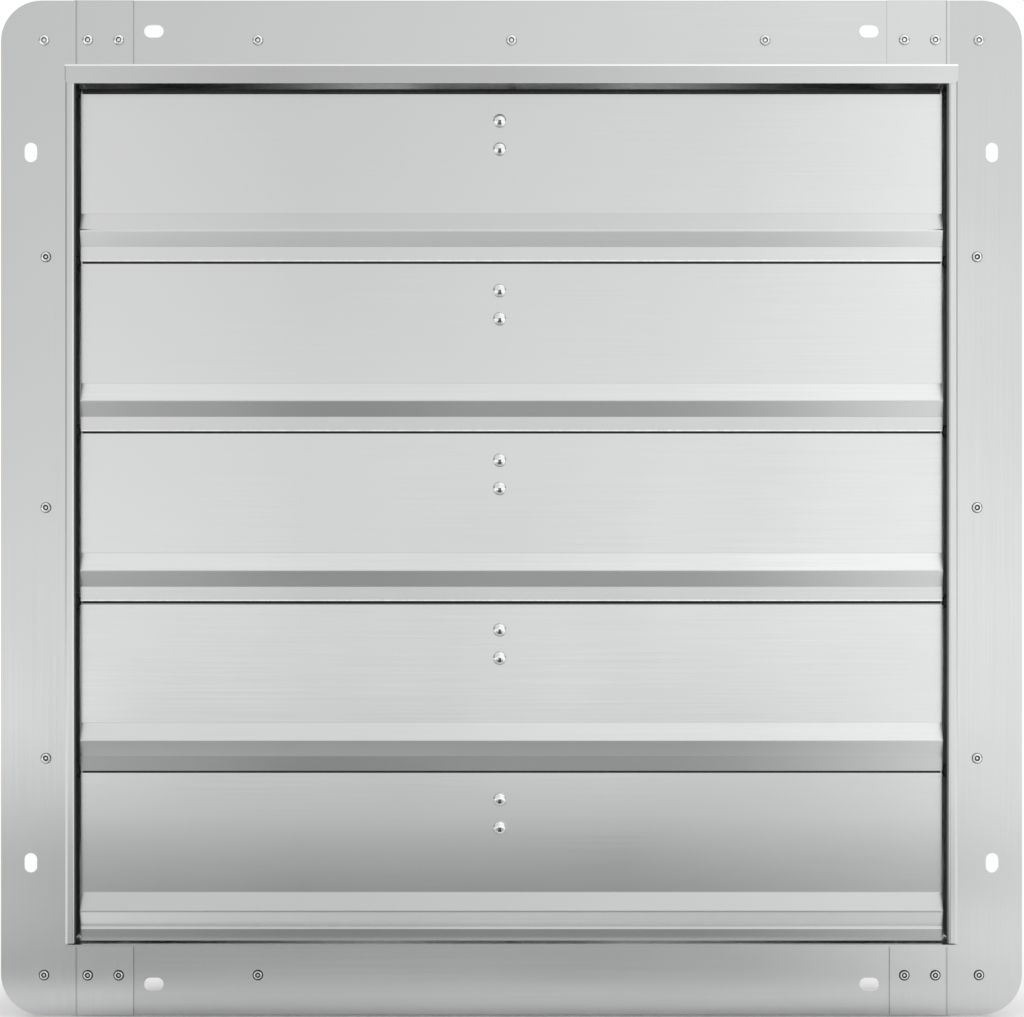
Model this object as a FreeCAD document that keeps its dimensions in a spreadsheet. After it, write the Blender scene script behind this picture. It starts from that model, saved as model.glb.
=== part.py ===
import FreeCAD, Part
import math
import os
import re

import Sketcher
from FreeCAD import Placement, Rotation, Vector

os.makedirs("parts", exist_ok=True)

# Wall exhaust fan with five gravity louvres.
# X runs to the right, Y runs back into the wall, Z runs up.
# The origin is the centre of the wall slots on the plane that meets the wall.

SIZES = {
    # wall flange and front frame
    "box_width": 514.0,
    "box_height": 508.0,
    "flange_side": 43.0,
    "flange_end": 44.0,
    "flange_corner": 24.0,
    "frame_sheet": 1.2,
    "bend_radius": 0.5,
    "rim_reach": 45.0,
    "top_lip": 11.2,
    "top_lip_corner": 3.0,
    "side_lip": 5.75,
    "side_lip_return": 6.0,
    "tab_length": 33.8,
    "joggle": 1.5,
    "seam_gap": 0.2,
    "cut_overrun": 5.0,
    # slots for the wall screws
    "slot_length": 11.5,
    "slot_width": 7.5,
    "slot_side_inset": 17.5,
    "slot_end_inset": 18.0,
    "slot_from_tab": 11.8,
    "slot_from_box": 45.25,
    # blind rivets of the flange
    "rivet_end_inset": 23.3,
    "rivet_corner_inset": 25.3,
    "rivet_side_inset": 26.4,
    "rivet_spread_share": 0.58,
    "tab_rivet_near": 6.9,
    "tab_rivet_pitch": 18.2,
    "blind_head": 6.35,
    "blind_head_rise": 1.3,
    "blind_shank": 3.2,
    "blind_eye": 1.9,
    "blind_eye_depth": 1.6,
    "rivet_gap": 0.05,
    # louvres
    "louvre_end_gap": 6.0,
    "louvre_sheet": 0.8,
    "louvre_top_drop": 1.3,
    "sill_gap": 1.0,
    "pivot_drop": 13.6,
    "pivot_setback": 25.0,
    "ridge_height": 4.7,
    "ridge_above": 10.4,
    "ridge_below": 9.1,
    "lip_height": 8.4,
    "lip_step": 1.35,
    "louvre_bend": 1.2,
    "ear_drop": 40.0,
    "ear_reach": 4.4,
    # pivot rods and bushings
    "rod_diameter": 4.4,
    "rod_gap": 0.3,
    "rod_overhang": 0.8,
    "running_gap": 0.06,
    "bush_neck": 6.4,
    "bush_collar": 7.6,
    "bush_collar_length": 4.8,
    "bush_head": 9.0,
    "bush_head_sheet": 1.2,
    # cranks, their rivets and the tie bar
    "crank_sheet": 1.2,
    "crank_offset": 0.2,
    "leaf_width": 14.0,
    "leaf_top": 9.0,
    "leaf_bottom": 40.0,
    "eye_back": 28.0,
    "eye_up": 3.0,
    "eye_diameter": 11.0,
    "eye_share": 0.35,
    "dome_offset": 6.8,
    "dome_top": 16.7,
    "dome_pitch": 16.4,
    "dome_head": 7.8,
    "dome_rise": 2.3,
    "dome_shank": 4.0,
    "dome_tail": 5.6,
    "dome_tail_rise": 1.2,
    "link_gap": 0.3,
    "bar_sheet": 2.0,
    "bar_width": 9.0,
    "bar_end": 4.6,
    "bar_corner": 4.0,
    "pin_diameter": 3.6,
    "pin_head": 6.2,
    "pin_head_rise": 1.0,
    # housing behind the flange
    "housing_step": 2.0,
    "housing_sheet": 1.2,
    "housing_depth": 150.0,
    "housing_return": 17.0,
    # panel with the round orifice
    "panel_sheet": 1.2,
    "panel_inset": 0.5,
    "orifice_margin": 2.0,
    "collar_depth": 22.0,
    "bell_radius": 8.0,
    "panel_screw_share": 0.65,
    "screw_head": 8.0,
    "screw_rise": 2.4,
    "screw_shank": 4.0,
    "screw_point": 4.0,
    "screw_recess": 1.2,
    "screw_slot": 1.1,
    # wire guard that carries the motor
    "guard_margin": 13.0,
    "guard_rise": 42.0,
    "guard_bend": 12.0,
    "spoke_wire": 4.0,
    "ring_wire": 3.0,
    "weld_bite": 0.5,
    "weld_gap": 0.05,
    "ring_first": 80.0,
    "ring_edge_gap": 14.0,
    "spoke_inner": 46.0,
    "foot_width": 20.0,
    "foot_reach": 28.0,
    "foot_sheet": 2.0,
    "foot_hole_out": 18.0,
    # motor
    "plate_diameter": 112.0,
    "plate_sheet": 3.0,
    "motor_diameter": 112.0,
    "motor_length": 76.0,
    "cover_depth": 14.0,
    "cover_wall": 3.0,
    "cover_edge": 5.0,
    "bearing_diameter": 32.0,
    "bearing_width": 9.0,
    "boss_wall": 3.0,
    "shaft_diameter": 12.0,
    "shaft_clearance": 0.6,
    "shaft_end_gap": 0.3,
    "stator_bore": 62.0,
    "stator_length": 32.0,
    "winding_length": 7.0,
    "winding_inset": 4.0,
    "air_gap": 0.4,
    "bolt_circle": 76.0,
    "bolt_diameter": 5.0,
    "bolt_head": 9.2,
    "bolt_head_rise": 3.5,
    "bolt_grip": 9.0,
    "slip_gap": 0.03,
    # terminal box on the motor
    "terminal_width": 72.0,
    "terminal_length": 46.0,
    "terminal_height": 34.0,
    "terminal_wall": 2.0,
    "terminal_saddle": 8.0,
    "terminal_floor": 2.5,
    "terminal_post": 8.0,
    "lid_sheet": 2.0,
    "lid_screw_head": 5.6,
    "lid_screw_rise": 1.8,
    "lid_screw_shank": 3.0,
    "lid_screw_length": 10.0,
    "capacitor_diameter": 24.0,
    "capacitor_length": 46.0,
    "gland_thread": 16.0,
    "gland_hex": 22.0,
    "gland_hex_length": 6.0,
    "gland_cap": 20.0,
    "gland_cap_length": 12.0,
    "gland_bore": 9.0,
    "gland_tail": 5.0,
    "gland_cap_edge": 3.0,
    # rotor
    "rotor_gap": 28.0,
    "spider_sheet": 3.0,
    "spider_disc": 76.0,
    "arm_width": 34.0,
    "arm_inner": 33.0,
    "arm_outer": 106.0,
    "hub_flange": 60.0,
    "hub_flange_sheet": 4.0,
    "hub_diameter": 34.0,
    "hub_length": 22.0,
    "shaft_stub": 4.0,
    "set_screw": 6.0,
    "set_screw_gap": 0.1,
    "hub_rivet_circle": 46.0,
    "blade_sheet": 1.5,
    "blade_root": 46.0,
    "blade_tip_gap": 6.0,
    "blade_tip_overrun": 6.0,
    "blade_seat_gap": 0.1,
    "blade_root_chord": 84.0,
    "blade_tip_chord": 150.0,
    "blade_camber_share": 0.055,
    "blade_grip_share": 0.36,
    "root_pitch_angle": 32.0,
    "tip_pitch_angle": 21.0,
    "blade_rivet_inner": 58.0,
    "blade_rivet_pitch": 19.0,
    "blade_rivet": 4.0,
    "blade_rivet_head": 7.0,
    "blade_rivet_rise": 1.6,
}

PLACES = {
    "box_x": "box_width / 2",
    "box_z": "box_height / 2",
    "flange_x": "box_x + flange_side",
    "flange_z": "box_z + flange_end",
    "back_y": "0 - housing_sheet",
    "face_y": "back_y - frame_sheet",
    "wall_x": "box_x - frame_sheet",
    "web_z": "box_z - frame_sheet",
    "rim_y": "0 - rim_reach",
    "lip_x": "box_x - side_lip",
    "tab_x": "wall_x - tab_length",
    "tab_z": "box_z + bend_radius + seam_gap",
    "strip_x": "wall_x - seam_gap",
    "rivet_z": "flange_z - rivet_end_inset",
    "rivet_x": "flange_x - rivet_side_inset",
    "corner_rivet_x": "flange_x - rivet_corner_inset",
    "spread_x": "box_x * rivet_spread_share",
    "spread_z": "box_z * rivet_spread_share",
    "tab_rivet_x": "wall_x - tab_rivet_near",
    "slot_x": "flange_x - slot_side_inset",
    "slot_z": "flange_z - slot_end_inset",
    "end_slot_x": "tab_x - slot_from_tab",
    "side_slot_z": "box_z - slot_from_box",
    "pivot_y": "0 - pivot_setback",
    "louvre_length": "2 * (wall_x - louvre_end_gap)",
    "louvre_drop": "(box_height - pivot_drop - frame_sheet - sill_gap) / 5",
    "inner_setback": "rod_diameter / 2 + rod_gap",
    "face_setback": "inner_setback + louvre_sheet",
    "eye_y": "pivot_y + eye_back",
    "housing_x": "box_x - housing_step",
    "housing_z": "box_z - housing_step",
    "duct_x": "housing_x - housing_sheet",
    "duct_z": "housing_z - housing_sheet",
    "return_x": "housing_x - housing_return",
    "return_z": "housing_z - housing_return",
    "orifice_r": "min(return_x; return_z) - bell_radius - orifice_margin",
    "panel_y": "housing_depth + panel_sheet",
    "screw_spread_x": "housing_x * panel_screw_share",
    "screw_spread_z": "housing_z * panel_screw_share",
    "panel_screw_x": "housing_x - housing_return / 2",
    "panel_screw_z": "housing_z - housing_return / 2",
    "guard_r": "orifice_r + guard_margin",
    "ring_pitch": "(guard_r - ring_edge_gap - ring_first) / 6",
    "guard_y": "panel_y + guard_rise",
    "foot_hole_r": "guard_r + foot_hole_out",
    "plate_y": "guard_y - spoke_wire / 2 - weld_gap",
    "motor_y": "plate_y - plate_sheet",
    "motor_r": "motor_diameter / 2",
    "front_y": "motor_y - motor_length",
    "middle_y": "motor_y - motor_length / 2",
    "bearing_r": "bearing_diameter / 2",
    "shaft_r": "shaft_diameter / 2",
    "core_r": "motor_r - cover_wall - slip_gap",
    "terminal_base": "motor_r - terminal_saddle",
    "terminal_top": "motor_r + terminal_height",
    "terminal_floor_z": "motor_r + terminal_floor",
    "terminal_x": "terminal_width / 2",
    "terminal_y": "terminal_length / 2",
    "post_x": "terminal_x - terminal_post / 2",
    "post_y": "terminal_y - terminal_post / 2",
    "spider_y": "front_y - rotor_gap",
    "hub_y": "spider_y + spider_sheet / 2",
    "tip_r": "orifice_r - blade_tip_gap",
}

LOUVRES = range(1, 6)
for number in LOUVRES:
    PLACES[f"pivot_{number}_z"] = f"box_z - pivot_drop - {number - 1} * louvre_drop"

doc = FreeCAD.newDocument("exhaust_fan")
sheet = doc.addObject("Spreadsheet::Sheet", "sizes")
for row, (alias, value) in enumerate(SIZES.items(), 1):
    sheet.set(f"A{row}", alias.replace("_", " "))
    sheet.set(f"B{row}", str(value))
    sheet.setAlias(f"B{row}", alias)
doc.recompute()

probe = doc.addObject("App::VarSet", "probe")
probe.addProperty("App::PropertyFloat", "reading")

nodes = []


def formula(text):
    def swap(match):
        word = match.group(0)
        if word in SIZES:
            return "sizes." + word
        if word in PLACES:
            return "(" + formula(PLACES[word]) + ")"
        return word

    return re.sub(r"[a-z][a-z_0-9]*", swap, str(text))


def reading(text):
    probe.setExpression("reading", formula(text))
    probe.recompute()
    return probe.reading


def bind(item, **texts):
    for name, text in texts.items():
        item.setExpression(name, formula(text))
    return item


def put(item, x="0", y="0", z="0", turn=None):
    if turn:
        item.Placement = Placement(Vector(), turn)
    for axis, text in (("x", x), ("y", y), ("z", z)):
        item.setExpression(f"Placement.Base.{axis}", formula(text))
    return item


def keep(item, label):
    item.Label = label
    nodes.append(item)
    return item


# turns that lay the local Z axis along another one
TO_FRONT = Rotation(Vector(1, 0, 0), 90)
TO_BACK = Rotation(Vector(1, 0, 0), -90)
TO_RIGHT = Rotation(Vector(0, 1, 0), 90)
TO_LEFT = Rotation(Vector(0, 1, 0), -90)
YZ_FRAME = Rotation(Vector(1, 1, 1), 120)


def new_body(label):
    return doc.addObject("PartDesign::Body", label)


def sketch_on(body, role, depth="0"):
    plane = next(item for item in body.Origin.OriginFeatures if item.Role == role)
    sketch = body.newObject("Sketcher::SketchObject", body.Name + "_sketch")
    sketch.AttachmentSupport = (plane, [""])
    sketch.MapMode = "FlatFace"
    sketch.setExpression("AttachmentOffset.Base.z", formula(depth))
    return sketch


def fix_point(sketch, geometry, position, at, x, y):
    for kind, value, text in (("DistanceX", at.x, x), ("DistanceY", at.y, y)):
        number = sketch.addConstraint(Sketcher.Constraint(kind, -1, 1, geometry, position, value))
        sketch.setExpression(f"Constraints[{number}]", formula(text))


def polygon(sketch, points):
    count = len(points)
    first = sketch.GeometryCount
    turns = [2 * math.pi * index / count for index in range(count)]
    start = [Vector(math.cos(turn), math.sin(turn), 0) for turn in turns]
    for index in range(count):
        sketch.addGeometry(Part.LineSegment(start[index], start[(index + 1) % count]), False)
    for index in range(count):
        after = first + (index + 1) % count
        sketch.addConstraint(Sketcher.Constraint("Coincident", first + index, 2, after, 1))
    for index, (x, y) in enumerate(points):
        fix_point(sketch, first + index, 1, start[index], x, y)


def rectangle(sketch, x0, x1, y0, y1):
    polygon(sketch, [(x0, y0), (x1, y0), (x1, y1), (x0, y1)])


def circle(sketch, x, y, radius):
    number = sketch.addGeometry(Part.Circle(Vector(), Vector(0, 0, 1), 1), False)
    fix_point(sketch, number, 3, Vector(), x, y)
    constraint = sketch.addConstraint(Sketcher.Constraint("Radius", number, 1))
    sketch.setExpression(f"Constraints[{constraint}]", formula(radius))


def pad(body, sketch, length, both=False):
    feature = body.newObject("PartDesign::Pad", body.Name + "_pad")
    feature.Profile = sketch
    feature.SideType = "Symmetric" if both else "One side"
    bind(feature, Length=length)
    doc.recompute()
    return feature


def cut(body, sketch, length=None):
    before = body.Shape.Volume
    feature = body.newObject("PartDesign::Pocket", body.Name + "_pocket")
    feature.Profile = sketch
    feature.SideType = "Symmetric"
    if length:
        bind(feature, Length=length)
    else:
        feature.Type = "ThroughAll"
    doc.recompute()
    if body.Shape.Volume >= before:
        raise RuntimeError(body.Name + " pocket removed nothing")
    return feature


def holes(body, role, spots):
    sketch = sketch_on(body, role)
    for x, y, radius in spots:
        circle(sketch, x, y, radius)
    cut(body, sketch)


def turn_solid(body, points, role="YZ_Plane"):
    sketch = sketch_on(body, role)
    polygon(sketch, points)
    feature = body.newObject("PartDesign::Revolution", body.Name + "_turned")
    feature.Profile = sketch
    feature.ReferenceAxis = (sketch, ["H_Axis"])
    feature.Angle = 360
    doc.recompute()
    return sketch


def round_edges(body, names, radius):
    if not names:
        raise RuntimeError(body.Name + " has no edge to round")
    base = body.Tip
    feature = body.newObject("PartDesign::Fillet", body.Name + "_round")
    feature.Base = (base, names)
    bind(feature, Radius=radius)
    doc.recompute()
    return feature


def bend(body, sketch, corners, radius):
    # rounds the straight edges that rise from chosen corners of a sketch
    inverse = sketch.Placement.inverse()
    spots = [sketch.Geometry[corner].StartPoint for corner in corners]
    names = []
    for number, edge in enumerate(body.Tip.Shape.Edges, 1):
        ends = [inverse.multVec(vertex.Point) for vertex in edge.Vertexes]
        if len(ends) != 2 or abs(ends[0].z - ends[1].z) < edge.Length / 2:
            continue
        flat = [Vector(end.x, end.y, 0) for end in ends]
        if any(all(spot.isEqual(end, 1e-4) for end in flat) for spot in spots):
            names.append(f"Edge{number}")
    return round_edges(body, names, radius)


def ring_edges(body, axial, radius):
    # circular edges about the Y axis at one place and radius
    names = []
    for number, edge in enumerate(body.Tip.Shape.Edges, 1):
        if not isinstance(edge.Curve, Part.Circle):
            continue
        centre = edge.Curve.Center
        if abs(edge.Curve.Radius - radius) < 1e-4 and abs(centre.y - axial) < 1e-4:
            names.append(f"Edge{number}")
    return names


def block(label, x, y, z):
    item = doc.addObject("Part::Box", label)
    spans = [f"({high}) - ({low})" for low, high in (x, y, z)]
    bind(item, Length=spans[0], Width=spans[1], Height=spans[2])
    return put(item, x[0], y[0], z[0])


def rod(label, radius, length, x="0", y="0", z="0", turn=None):
    item = doc.addObject("Part::Cylinder", label)
    bind(item, Radius=radius, Height=length)
    return put(item, x, y, z, turn)


def torus(label, ring, wire, x="0", y="0", z="0", turn=None, sweep=360):
    item = doc.addObject("Part::Torus", label)
    item.Angle3 = sweep
    bind(item, Radius1=ring, Radius2=wire)
    return put(item, x, y, z, turn)


def join(label, items):
    item = doc.addObject("Part::MultiFuse", label)
    item.Shapes = items
    item.Refine = True
    return item


def take(label, base, tool):
    item = doc.addObject("Part::Cut", label)
    item.Base = base
    item.Tool = tool
    return item


def link(label, master, x="0", y="0", z="0", turn=None):
    item = doc.addObject("App::Link", label)
    item.LinkedObject = master
    return put(item, x, y, z, turn or Rotation())


def bundle(label, items):
    item = doc.addObject("Part::Compound", label)
    item.Links = items
    return item


def around(label, master, angles):
    # copies of one piece turned about the Y axis
    copies = []
    for number, angle in enumerate(angles, 1):
        spin = Rotation(Vector(0, 1, 0), angle)
        copies.append(link(f"{label}_{number}", master, turn=spin))
    return copies


def dome(label, diameter, rise):
    # spherical cap that stands on its local XY plane
    ball = f"((({diameter}) / 2) ^ 2 + ({rise}) ^ 2) / (2 * ({rise}))"
    item = doc.addObject("Part::Sphere", label)
    bind(item, Radius=ball, Angle1=f"asin(1 - ({rise}) / ({ball}))")
    return put(item, z=f"({rise}) - ({ball})")


def rivet(label, head, rise, shank, grip, tail=None, tail_rise=None):
    # head up on the local XY plane, shank down
    pieces = [dome(label + "_head", head, rise)]
    pieces.append(rod(label + "_shank", f"{shank} / 2", grip, z=f"0 - ({grip})"))
    if tail:
        low = f"0 - ({grip}) - ({tail_rise})"
        pieces.append(rod(label + "_tail", f"{tail} / 2", tail_rise, z=low))
    return join(label + "_solid", pieces)


def slotted_screw(label, head, rise, shank, length):
    solid = rivet(label, head, rise, shank, length)
    half = f"{head} / 2"
    slot = ("0 - screw_slot / 2", "screw_slot / 2")
    span = (f"0 - {half}", half)
    groove = block(label + "_slot", span, slot, (f"{rise} - screw_recess", f"{rise}"))
    return take(label + "_screw", solid, groove)


# Flange holes that the front frame and the housing share.
RIVET_R = "blind_shank / 2 + rivet_gap"
SLOT_R = "slot_width / 2"
SLOT_HALF = "(slot_length - slot_width) / 2"


def side_holes(body, side, extra):
    spots = [(f"{side} * rivet_x", "0", RIVET_R)]
    lows = []
    bars = sketch_on(body, "XZ_Plane")
    for end in ("1", "-1"):
        spots.append((f"{side} * corner_rivet_x", f"{end} * rivet_z", RIVET_R))
        spots.append((f"{side} * rivet_x", f"{end} * spread_z", RIVET_R))
        low = f"{end} * side_slot_z - {SLOT_HALF}"
        high = f"{end} * side_slot_z + {SLOT_HALF}"
        lows.append((f"{side} * slot_x", low, SLOT_R))
        spots.append((f"{side} * slot_x", high, SLOT_R))
        rectangle(bars, f"{side} * slot_x - {SLOT_R}", f"{side} * slot_x + {SLOT_R}", low, high)
    cut(body, bars)
    holes(body, "XZ_Plane", lows)
    holes(body, "XZ_Plane", spots + extra)


def end_rivet_places(end):
    # middle rivets of the top or bottom strip
    if end == "1":
        return ["-1 * spread_x", "0", "spread_x"]
    return ["-1 * spread_x"]


def tab_rivet_places(side):
    return [f"{side} * tab_rivet_x", f"{side} * (tab_rivet_x - tab_rivet_pitch)"]


def end_holes(body, end):
    bars = sketch_on(body, "XZ_Plane")
    spots = []
    lefts = []
    for side in ("1", "-1"):
        left = f"{side} * end_slot_x - {SLOT_HALF}"
        right = f"{side} * end_slot_x + {SLOT_HALF}"
        lefts.append((left, f"{end} * slot_z", SLOT_R))
        spots.append((right, f"{end} * slot_z", SLOT_R))
        rectangle(bars, left, right, f"{end} * slot_z - {SLOT_R}", f"{end} * slot_z + {SLOT_R}")
        for x in tab_rivet_places(side):
            spots.append((x, f"{end} * rivet_z", RIVET_R))
    for x in end_rivet_places(end):
        spots.append((x, f"{end} * rivet_z", RIVET_R))
    cut(body, bars)
    holes(body, "XZ_Plane", lefts)
    holes(body, "XZ_Plane", spots)


# Jambs: flange, wall and inward lip of one bent sheet, with lap tabs at the corners.
def jamb(label, side, over_ends, under_ends):
    body = new_body(label)
    plate = sketch_on(body, "XZ_Plane", "housing_sheet")
    polygon(plate, [(f"{side} * wall_x", "0 - flange_z"), (f"{side} * flange_x", "0 - flange_z"),
                    (f"{side} * flange_x", "flange_z"), (f"{side} * wall_x", "flange_z")])
    pad(body, plate, "frame_sheet")
    bend(body, plate, [1, 2], "flange_corner")
    section = sketch_on(body, "XY_Plane")
    polygon(section, [(f"{side} * wall_x", "back_y"), (f"{side} * box_x", "back_y"),
                      (f"{side} * box_x", "rim_y"), (f"{side} * lip_x", "rim_y"),
                      (f"{side} * lip_x", "rim_y + side_lip_return"),
                      (f"{side} * (lip_x + frame_sheet)", "rim_y + side_lip_return"),
                      (f"{side} * (lip_x + frame_sheet)", "rim_y + frame_sheet"),
                      (f"{side} * wall_x", "rim_y + frame_sheet")])
    pad(body, section, "2 * (web_z - bend_radius - seam_gap)", both=True)
    bend(body, section, [2, 3], "bend_radius + frame_sheet")
    bend(body, section, [6, 7], "bend_radius")
    extra = []
    for ends, layer in ((over_ends, "housing_sheet + frame_sheet"), (under_ends, "housing_sheet")):
        if not ends:
            continue
        laps = sketch_on(body, "XZ_Plane", layer)
        for end in ends:
            rectangle(laps, f"{side} * tab_x", f"{side} * (wall_x + joggle)",
                      f"{end} * tab_z", f"{end} * flange_z")
            for x in tab_rivet_places(side):
                extra.append((x, f"{end} * rivet_z", RIVET_R))
        pad(body, laps, "frame_sheet")
    side_holes(body, side, extra)
    bores = []
    for number in LOUVRES:
        bores.append(("pivot_y", f"pivot_{number}_z", "bush_neck / 2 + rivet_gap"))
    holes(body, "YZ_Plane", bores)
    keep(body, label)


jamb("left_jamb", "-1", ["1", "-1"], [])
jamb("right_jamb", "1", ["-1"], ["1"])


def clear_ends(body, end):
    # frees the strip ends where the side flanges lie
    ends = sketch_on(body, "XZ_Plane", "housing_sheet + frame_sheet / 2")
    for side in ("1", "-1"):
        rectangle(ends, f"{side} * strip_x", f"{side} * (box_x + cut_overrun)",
                  f"{end} * (web_z - cut_overrun)", f"{end} * (flange_z + cut_overrun)")
    cut(body, ends, "frame_sheet + 2 * seam_gap")


# Top rail: flange strip, web and drip lip; its right end laps over the right jamb.
top_rail = new_body("top_rail")
profile = sketch_on(top_rail, "YZ_Plane")
polygon(profile, [("back_y", "flange_z"), ("back_y", "web_z"), ("rim_y", "web_z"),
                  ("rim_y", "box_z - top_lip"), ("rim_y - frame_sheet", "box_z - top_lip"),
                  ("rim_y - frame_sheet", "box_z"), ("face_y", "box_z"), ("face_y", "flange_z")])
pad(top_rail, profile, "box_width", both=True)
bend(top_rail, profile, [1, 5], "bend_radius + frame_sheet")
bend(top_rail, profile, [2, 6], "bend_radius")
clear_ends(top_rail, "1")
under = sketch_on(top_rail, "XZ_Plane", "housing_sheet + frame_sheet / 2")
rectangle(under, "tab_x - seam_gap", "strip_x + cut_overrun", "tab_z - seam_gap", "flange_z + cut_overrun")
cut(top_rail, under, "frame_sheet")
lap = sketch_on(top_rail, "XZ_Plane", "housing_sheet + frame_sheet")
rectangle(lap, "tab_x - joggle", "strip_x", "web_z", "flange_z")
pad(top_rail, lap, "frame_sheet")
corners = sketch_on(top_rail, "XZ_Plane")
rectangle(corners, "0 - box_x", "box_x", "box_z - top_lip", "box_z")
doc.recompute()
bend(top_rail, corners, [0, 1], "top_lip_corner")
end_holes(top_rail, "1")
keep(top_rail, "top_rail")

# Bottom sill: flange strip and plain web.
bottom_sill = new_body("bottom_sill")
profile = sketch_on(bottom_sill, "YZ_Plane")
polygon(profile, [("back_y", "0 - flange_z"), ("back_y", "0 - web_z"), ("rim_y", "0 - web_z"),
                  ("rim_y", "0 - box_z"), ("face_y", "0 - box_z"), ("face_y", "0 - flange_z")])
pad(bottom_sill, profile, "box_width", both=True)
bend(bottom_sill, profile, [1], "bend_radius + frame_sheet")
bend(bottom_sill, profile, [4], "bend_radius")
clear_ends(bottom_sill, "-1")
end_holes(bottom_sill, "-1")
keep(bottom_sill, "bottom_sill")

# Housing: four walls with a wall flange in front and a fixing return behind.
SCREW_R = "screw_shank / 2 + rivet_gap"


def housing_side(label, side):
    body = new_body(label)
    plate = sketch_on(body, "XZ_Plane")
    polygon(plate, [(f"{side} * duct_x", "0 - flange_z"), (f"{side} * flange_x", "0 - flange_z"),
                    (f"{side} * flange_x", "flange_z"), (f"{side} * duct_x", "flange_z")])
    pad(body, plate, "housing_sheet")
    bend(body, plate, [1, 2], "flange_corner")
    section = sketch_on(body, "XY_Plane")
    polygon(section, [(f"{side} * duct_x", "back_y"), (f"{side} * housing_x", "back_y"),
                      (f"{side} * housing_x", "housing_depth"), (f"{side} * return_x", "housing_depth"),
                      (f"{side} * return_x", "housing_depth - housing_sheet"),
                      (f"{side} * duct_x", "housing_depth - housing_sheet")])
    pad(body, section, "2 * housing_z", both=True)
    bend(body, section, [2], "bend_radius + housing_sheet")
    bend(body, section, [5], "bend_radius")
    ends = sketch_on(body, "XZ_Plane", "housing_sheet / 2 - housing_depth")
    extra = []
    for end in ("1", "-1"):
        rectangle(ends, f"{side} * (return_x - cut_overrun)", f"{side} * duct_x",
                  f"{end} * (duct_z - seam_gap)", f"{end} * (housing_z + cut_overrun)")
        extra.append((f"{side} * panel_screw_x", f"{end} * screw_spread_z", SCREW_R))
    cut(body, ends, "housing_sheet + 2 * bend_radius + 2 * seam_gap")
    side_holes(body, side, extra)
    keep(body, label)


def housing_end(label, end):
    body = new_body(label)
    section = sketch_on(body, "YZ_Plane")
    polygon(section, [("0", f"{end} * flange_z"), ("back_y", f"{end} * flange_z"),
                      ("back_y", f"{end} * duct_z"), ("housing_depth", f"{end} * duct_z"),
                      ("housing_depth", f"{end} * housing_z"), ("0", f"{end} * housing_z")])
    pad(body, section, "2 * (duct_x - seam_gap)", both=True)
    bend(body, section, [2], "bend_radius + housing_sheet")
    bend(body, section, [5], "bend_radius")
    fold = sketch_on(body, "YZ_Plane")
    rectangle(fold, "housing_depth - housing_sheet", "housing_depth",
              f"{end} * return_z", f"{end} * housing_z")
    pad(body, fold, "2 * (return_x - seam_gap)", both=True)
    end_holes(body, end)
    spots = []
    for side in ("1", "-1"):
        spots.append((f"{side} * screw_spread_x", f"{end} * panel_screw_z", SCREW_R))
    holes(body, "XZ_Plane", spots)
    keep(body, label)


housing_side("housing_left", "-1")
housing_side("housing_right", "1")
housing_end("housing_top", "1")
housing_end("housing_bottom", "-1")

# Blind rivets, set flush on the wall side.
plain = rivet("plain_blind", "blind_head", "blind_head_rise", "blind_shank", "housing_sheet + frame_sheet")
lapped = rivet("lapped_blind", "blind_head", "blind_head_rise", "blind_shank",
               "housing_sheet + 2 * frame_sheet")
masters = []
for name, solid in (("plain", plain), ("lapped", lapped)):
    eye = rod(name + "_eye", "blind_eye / 2", "blind_eye_depth", z="blind_head_rise - blind_eye_depth")
    masters.append(take(name + "_blind_rivet", solid, eye))
plain_rivet, lapped_rivet = masters
spots = []
for end in ("1", "-1"):
    for side in ("1", "-1"):
        spots.append((plain_rivet, f"{side} * corner_rivet_x", "face_y", f"{end} * rivet_z"))
        spots.append((plain_rivet, f"{side} * rivet_x", "face_y", f"{end} * spread_z"))
        for x in tab_rivet_places(side):
            spots.append((lapped_rivet, x, "face_y - frame_sheet", f"{end} * rivet_z"))
    for x in end_rivet_places(end):
        spots.append((plain_rivet, x, "face_y", f"{end} * rivet_z"))
for side in ("1", "-1"):
    spots.append((plain_rivet, f"{side} * rivet_x", "face_y", "0"))
copies = []
for number, (master, x, y, z) in enumerate(spots, 1):
    copies.append(link(f"flange_rivet_{number}", master, x, y, z, TO_FRONT))
keep(bundle("flange_rivets_group", copies), "flange_rivets")

# Nylon bushings in the jamb walls.
bush = new_body("bush")
BORE = "rod_diameter / 2 + running_gap"
turn_solid(bush, [("bush_head_sheet", BORE), ("bush_head_sheet", "bush_head / 2"),
                  ("0", "bush_head / 2"), ("0", "bush_neck / 2"),
                  ("0 - frame_sheet", "bush_neck / 2"), ("0 - frame_sheet", "bush_collar / 2"),
                  ("0 - frame_sheet - bush_collar_length", "bush_collar / 2"),
                  ("0 - frame_sheet - bush_collar_length", BORE)], "XZ_Plane")
copies = []
for number in LOUVRES:
    height = f"pivot_{number}_z"
    copies.append(link(f"bush_right_{number}", bush, "box_x", "pivot_y", height))
    facing = Rotation(Vector(0, 0, 1), 180)
    copies.append(link(f"bush_left_{number}", bush, "0 - box_x", "pivot_y", height, facing))
keep(bundle("pivot_bushings_group", copies), "pivot_bushings")

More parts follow.
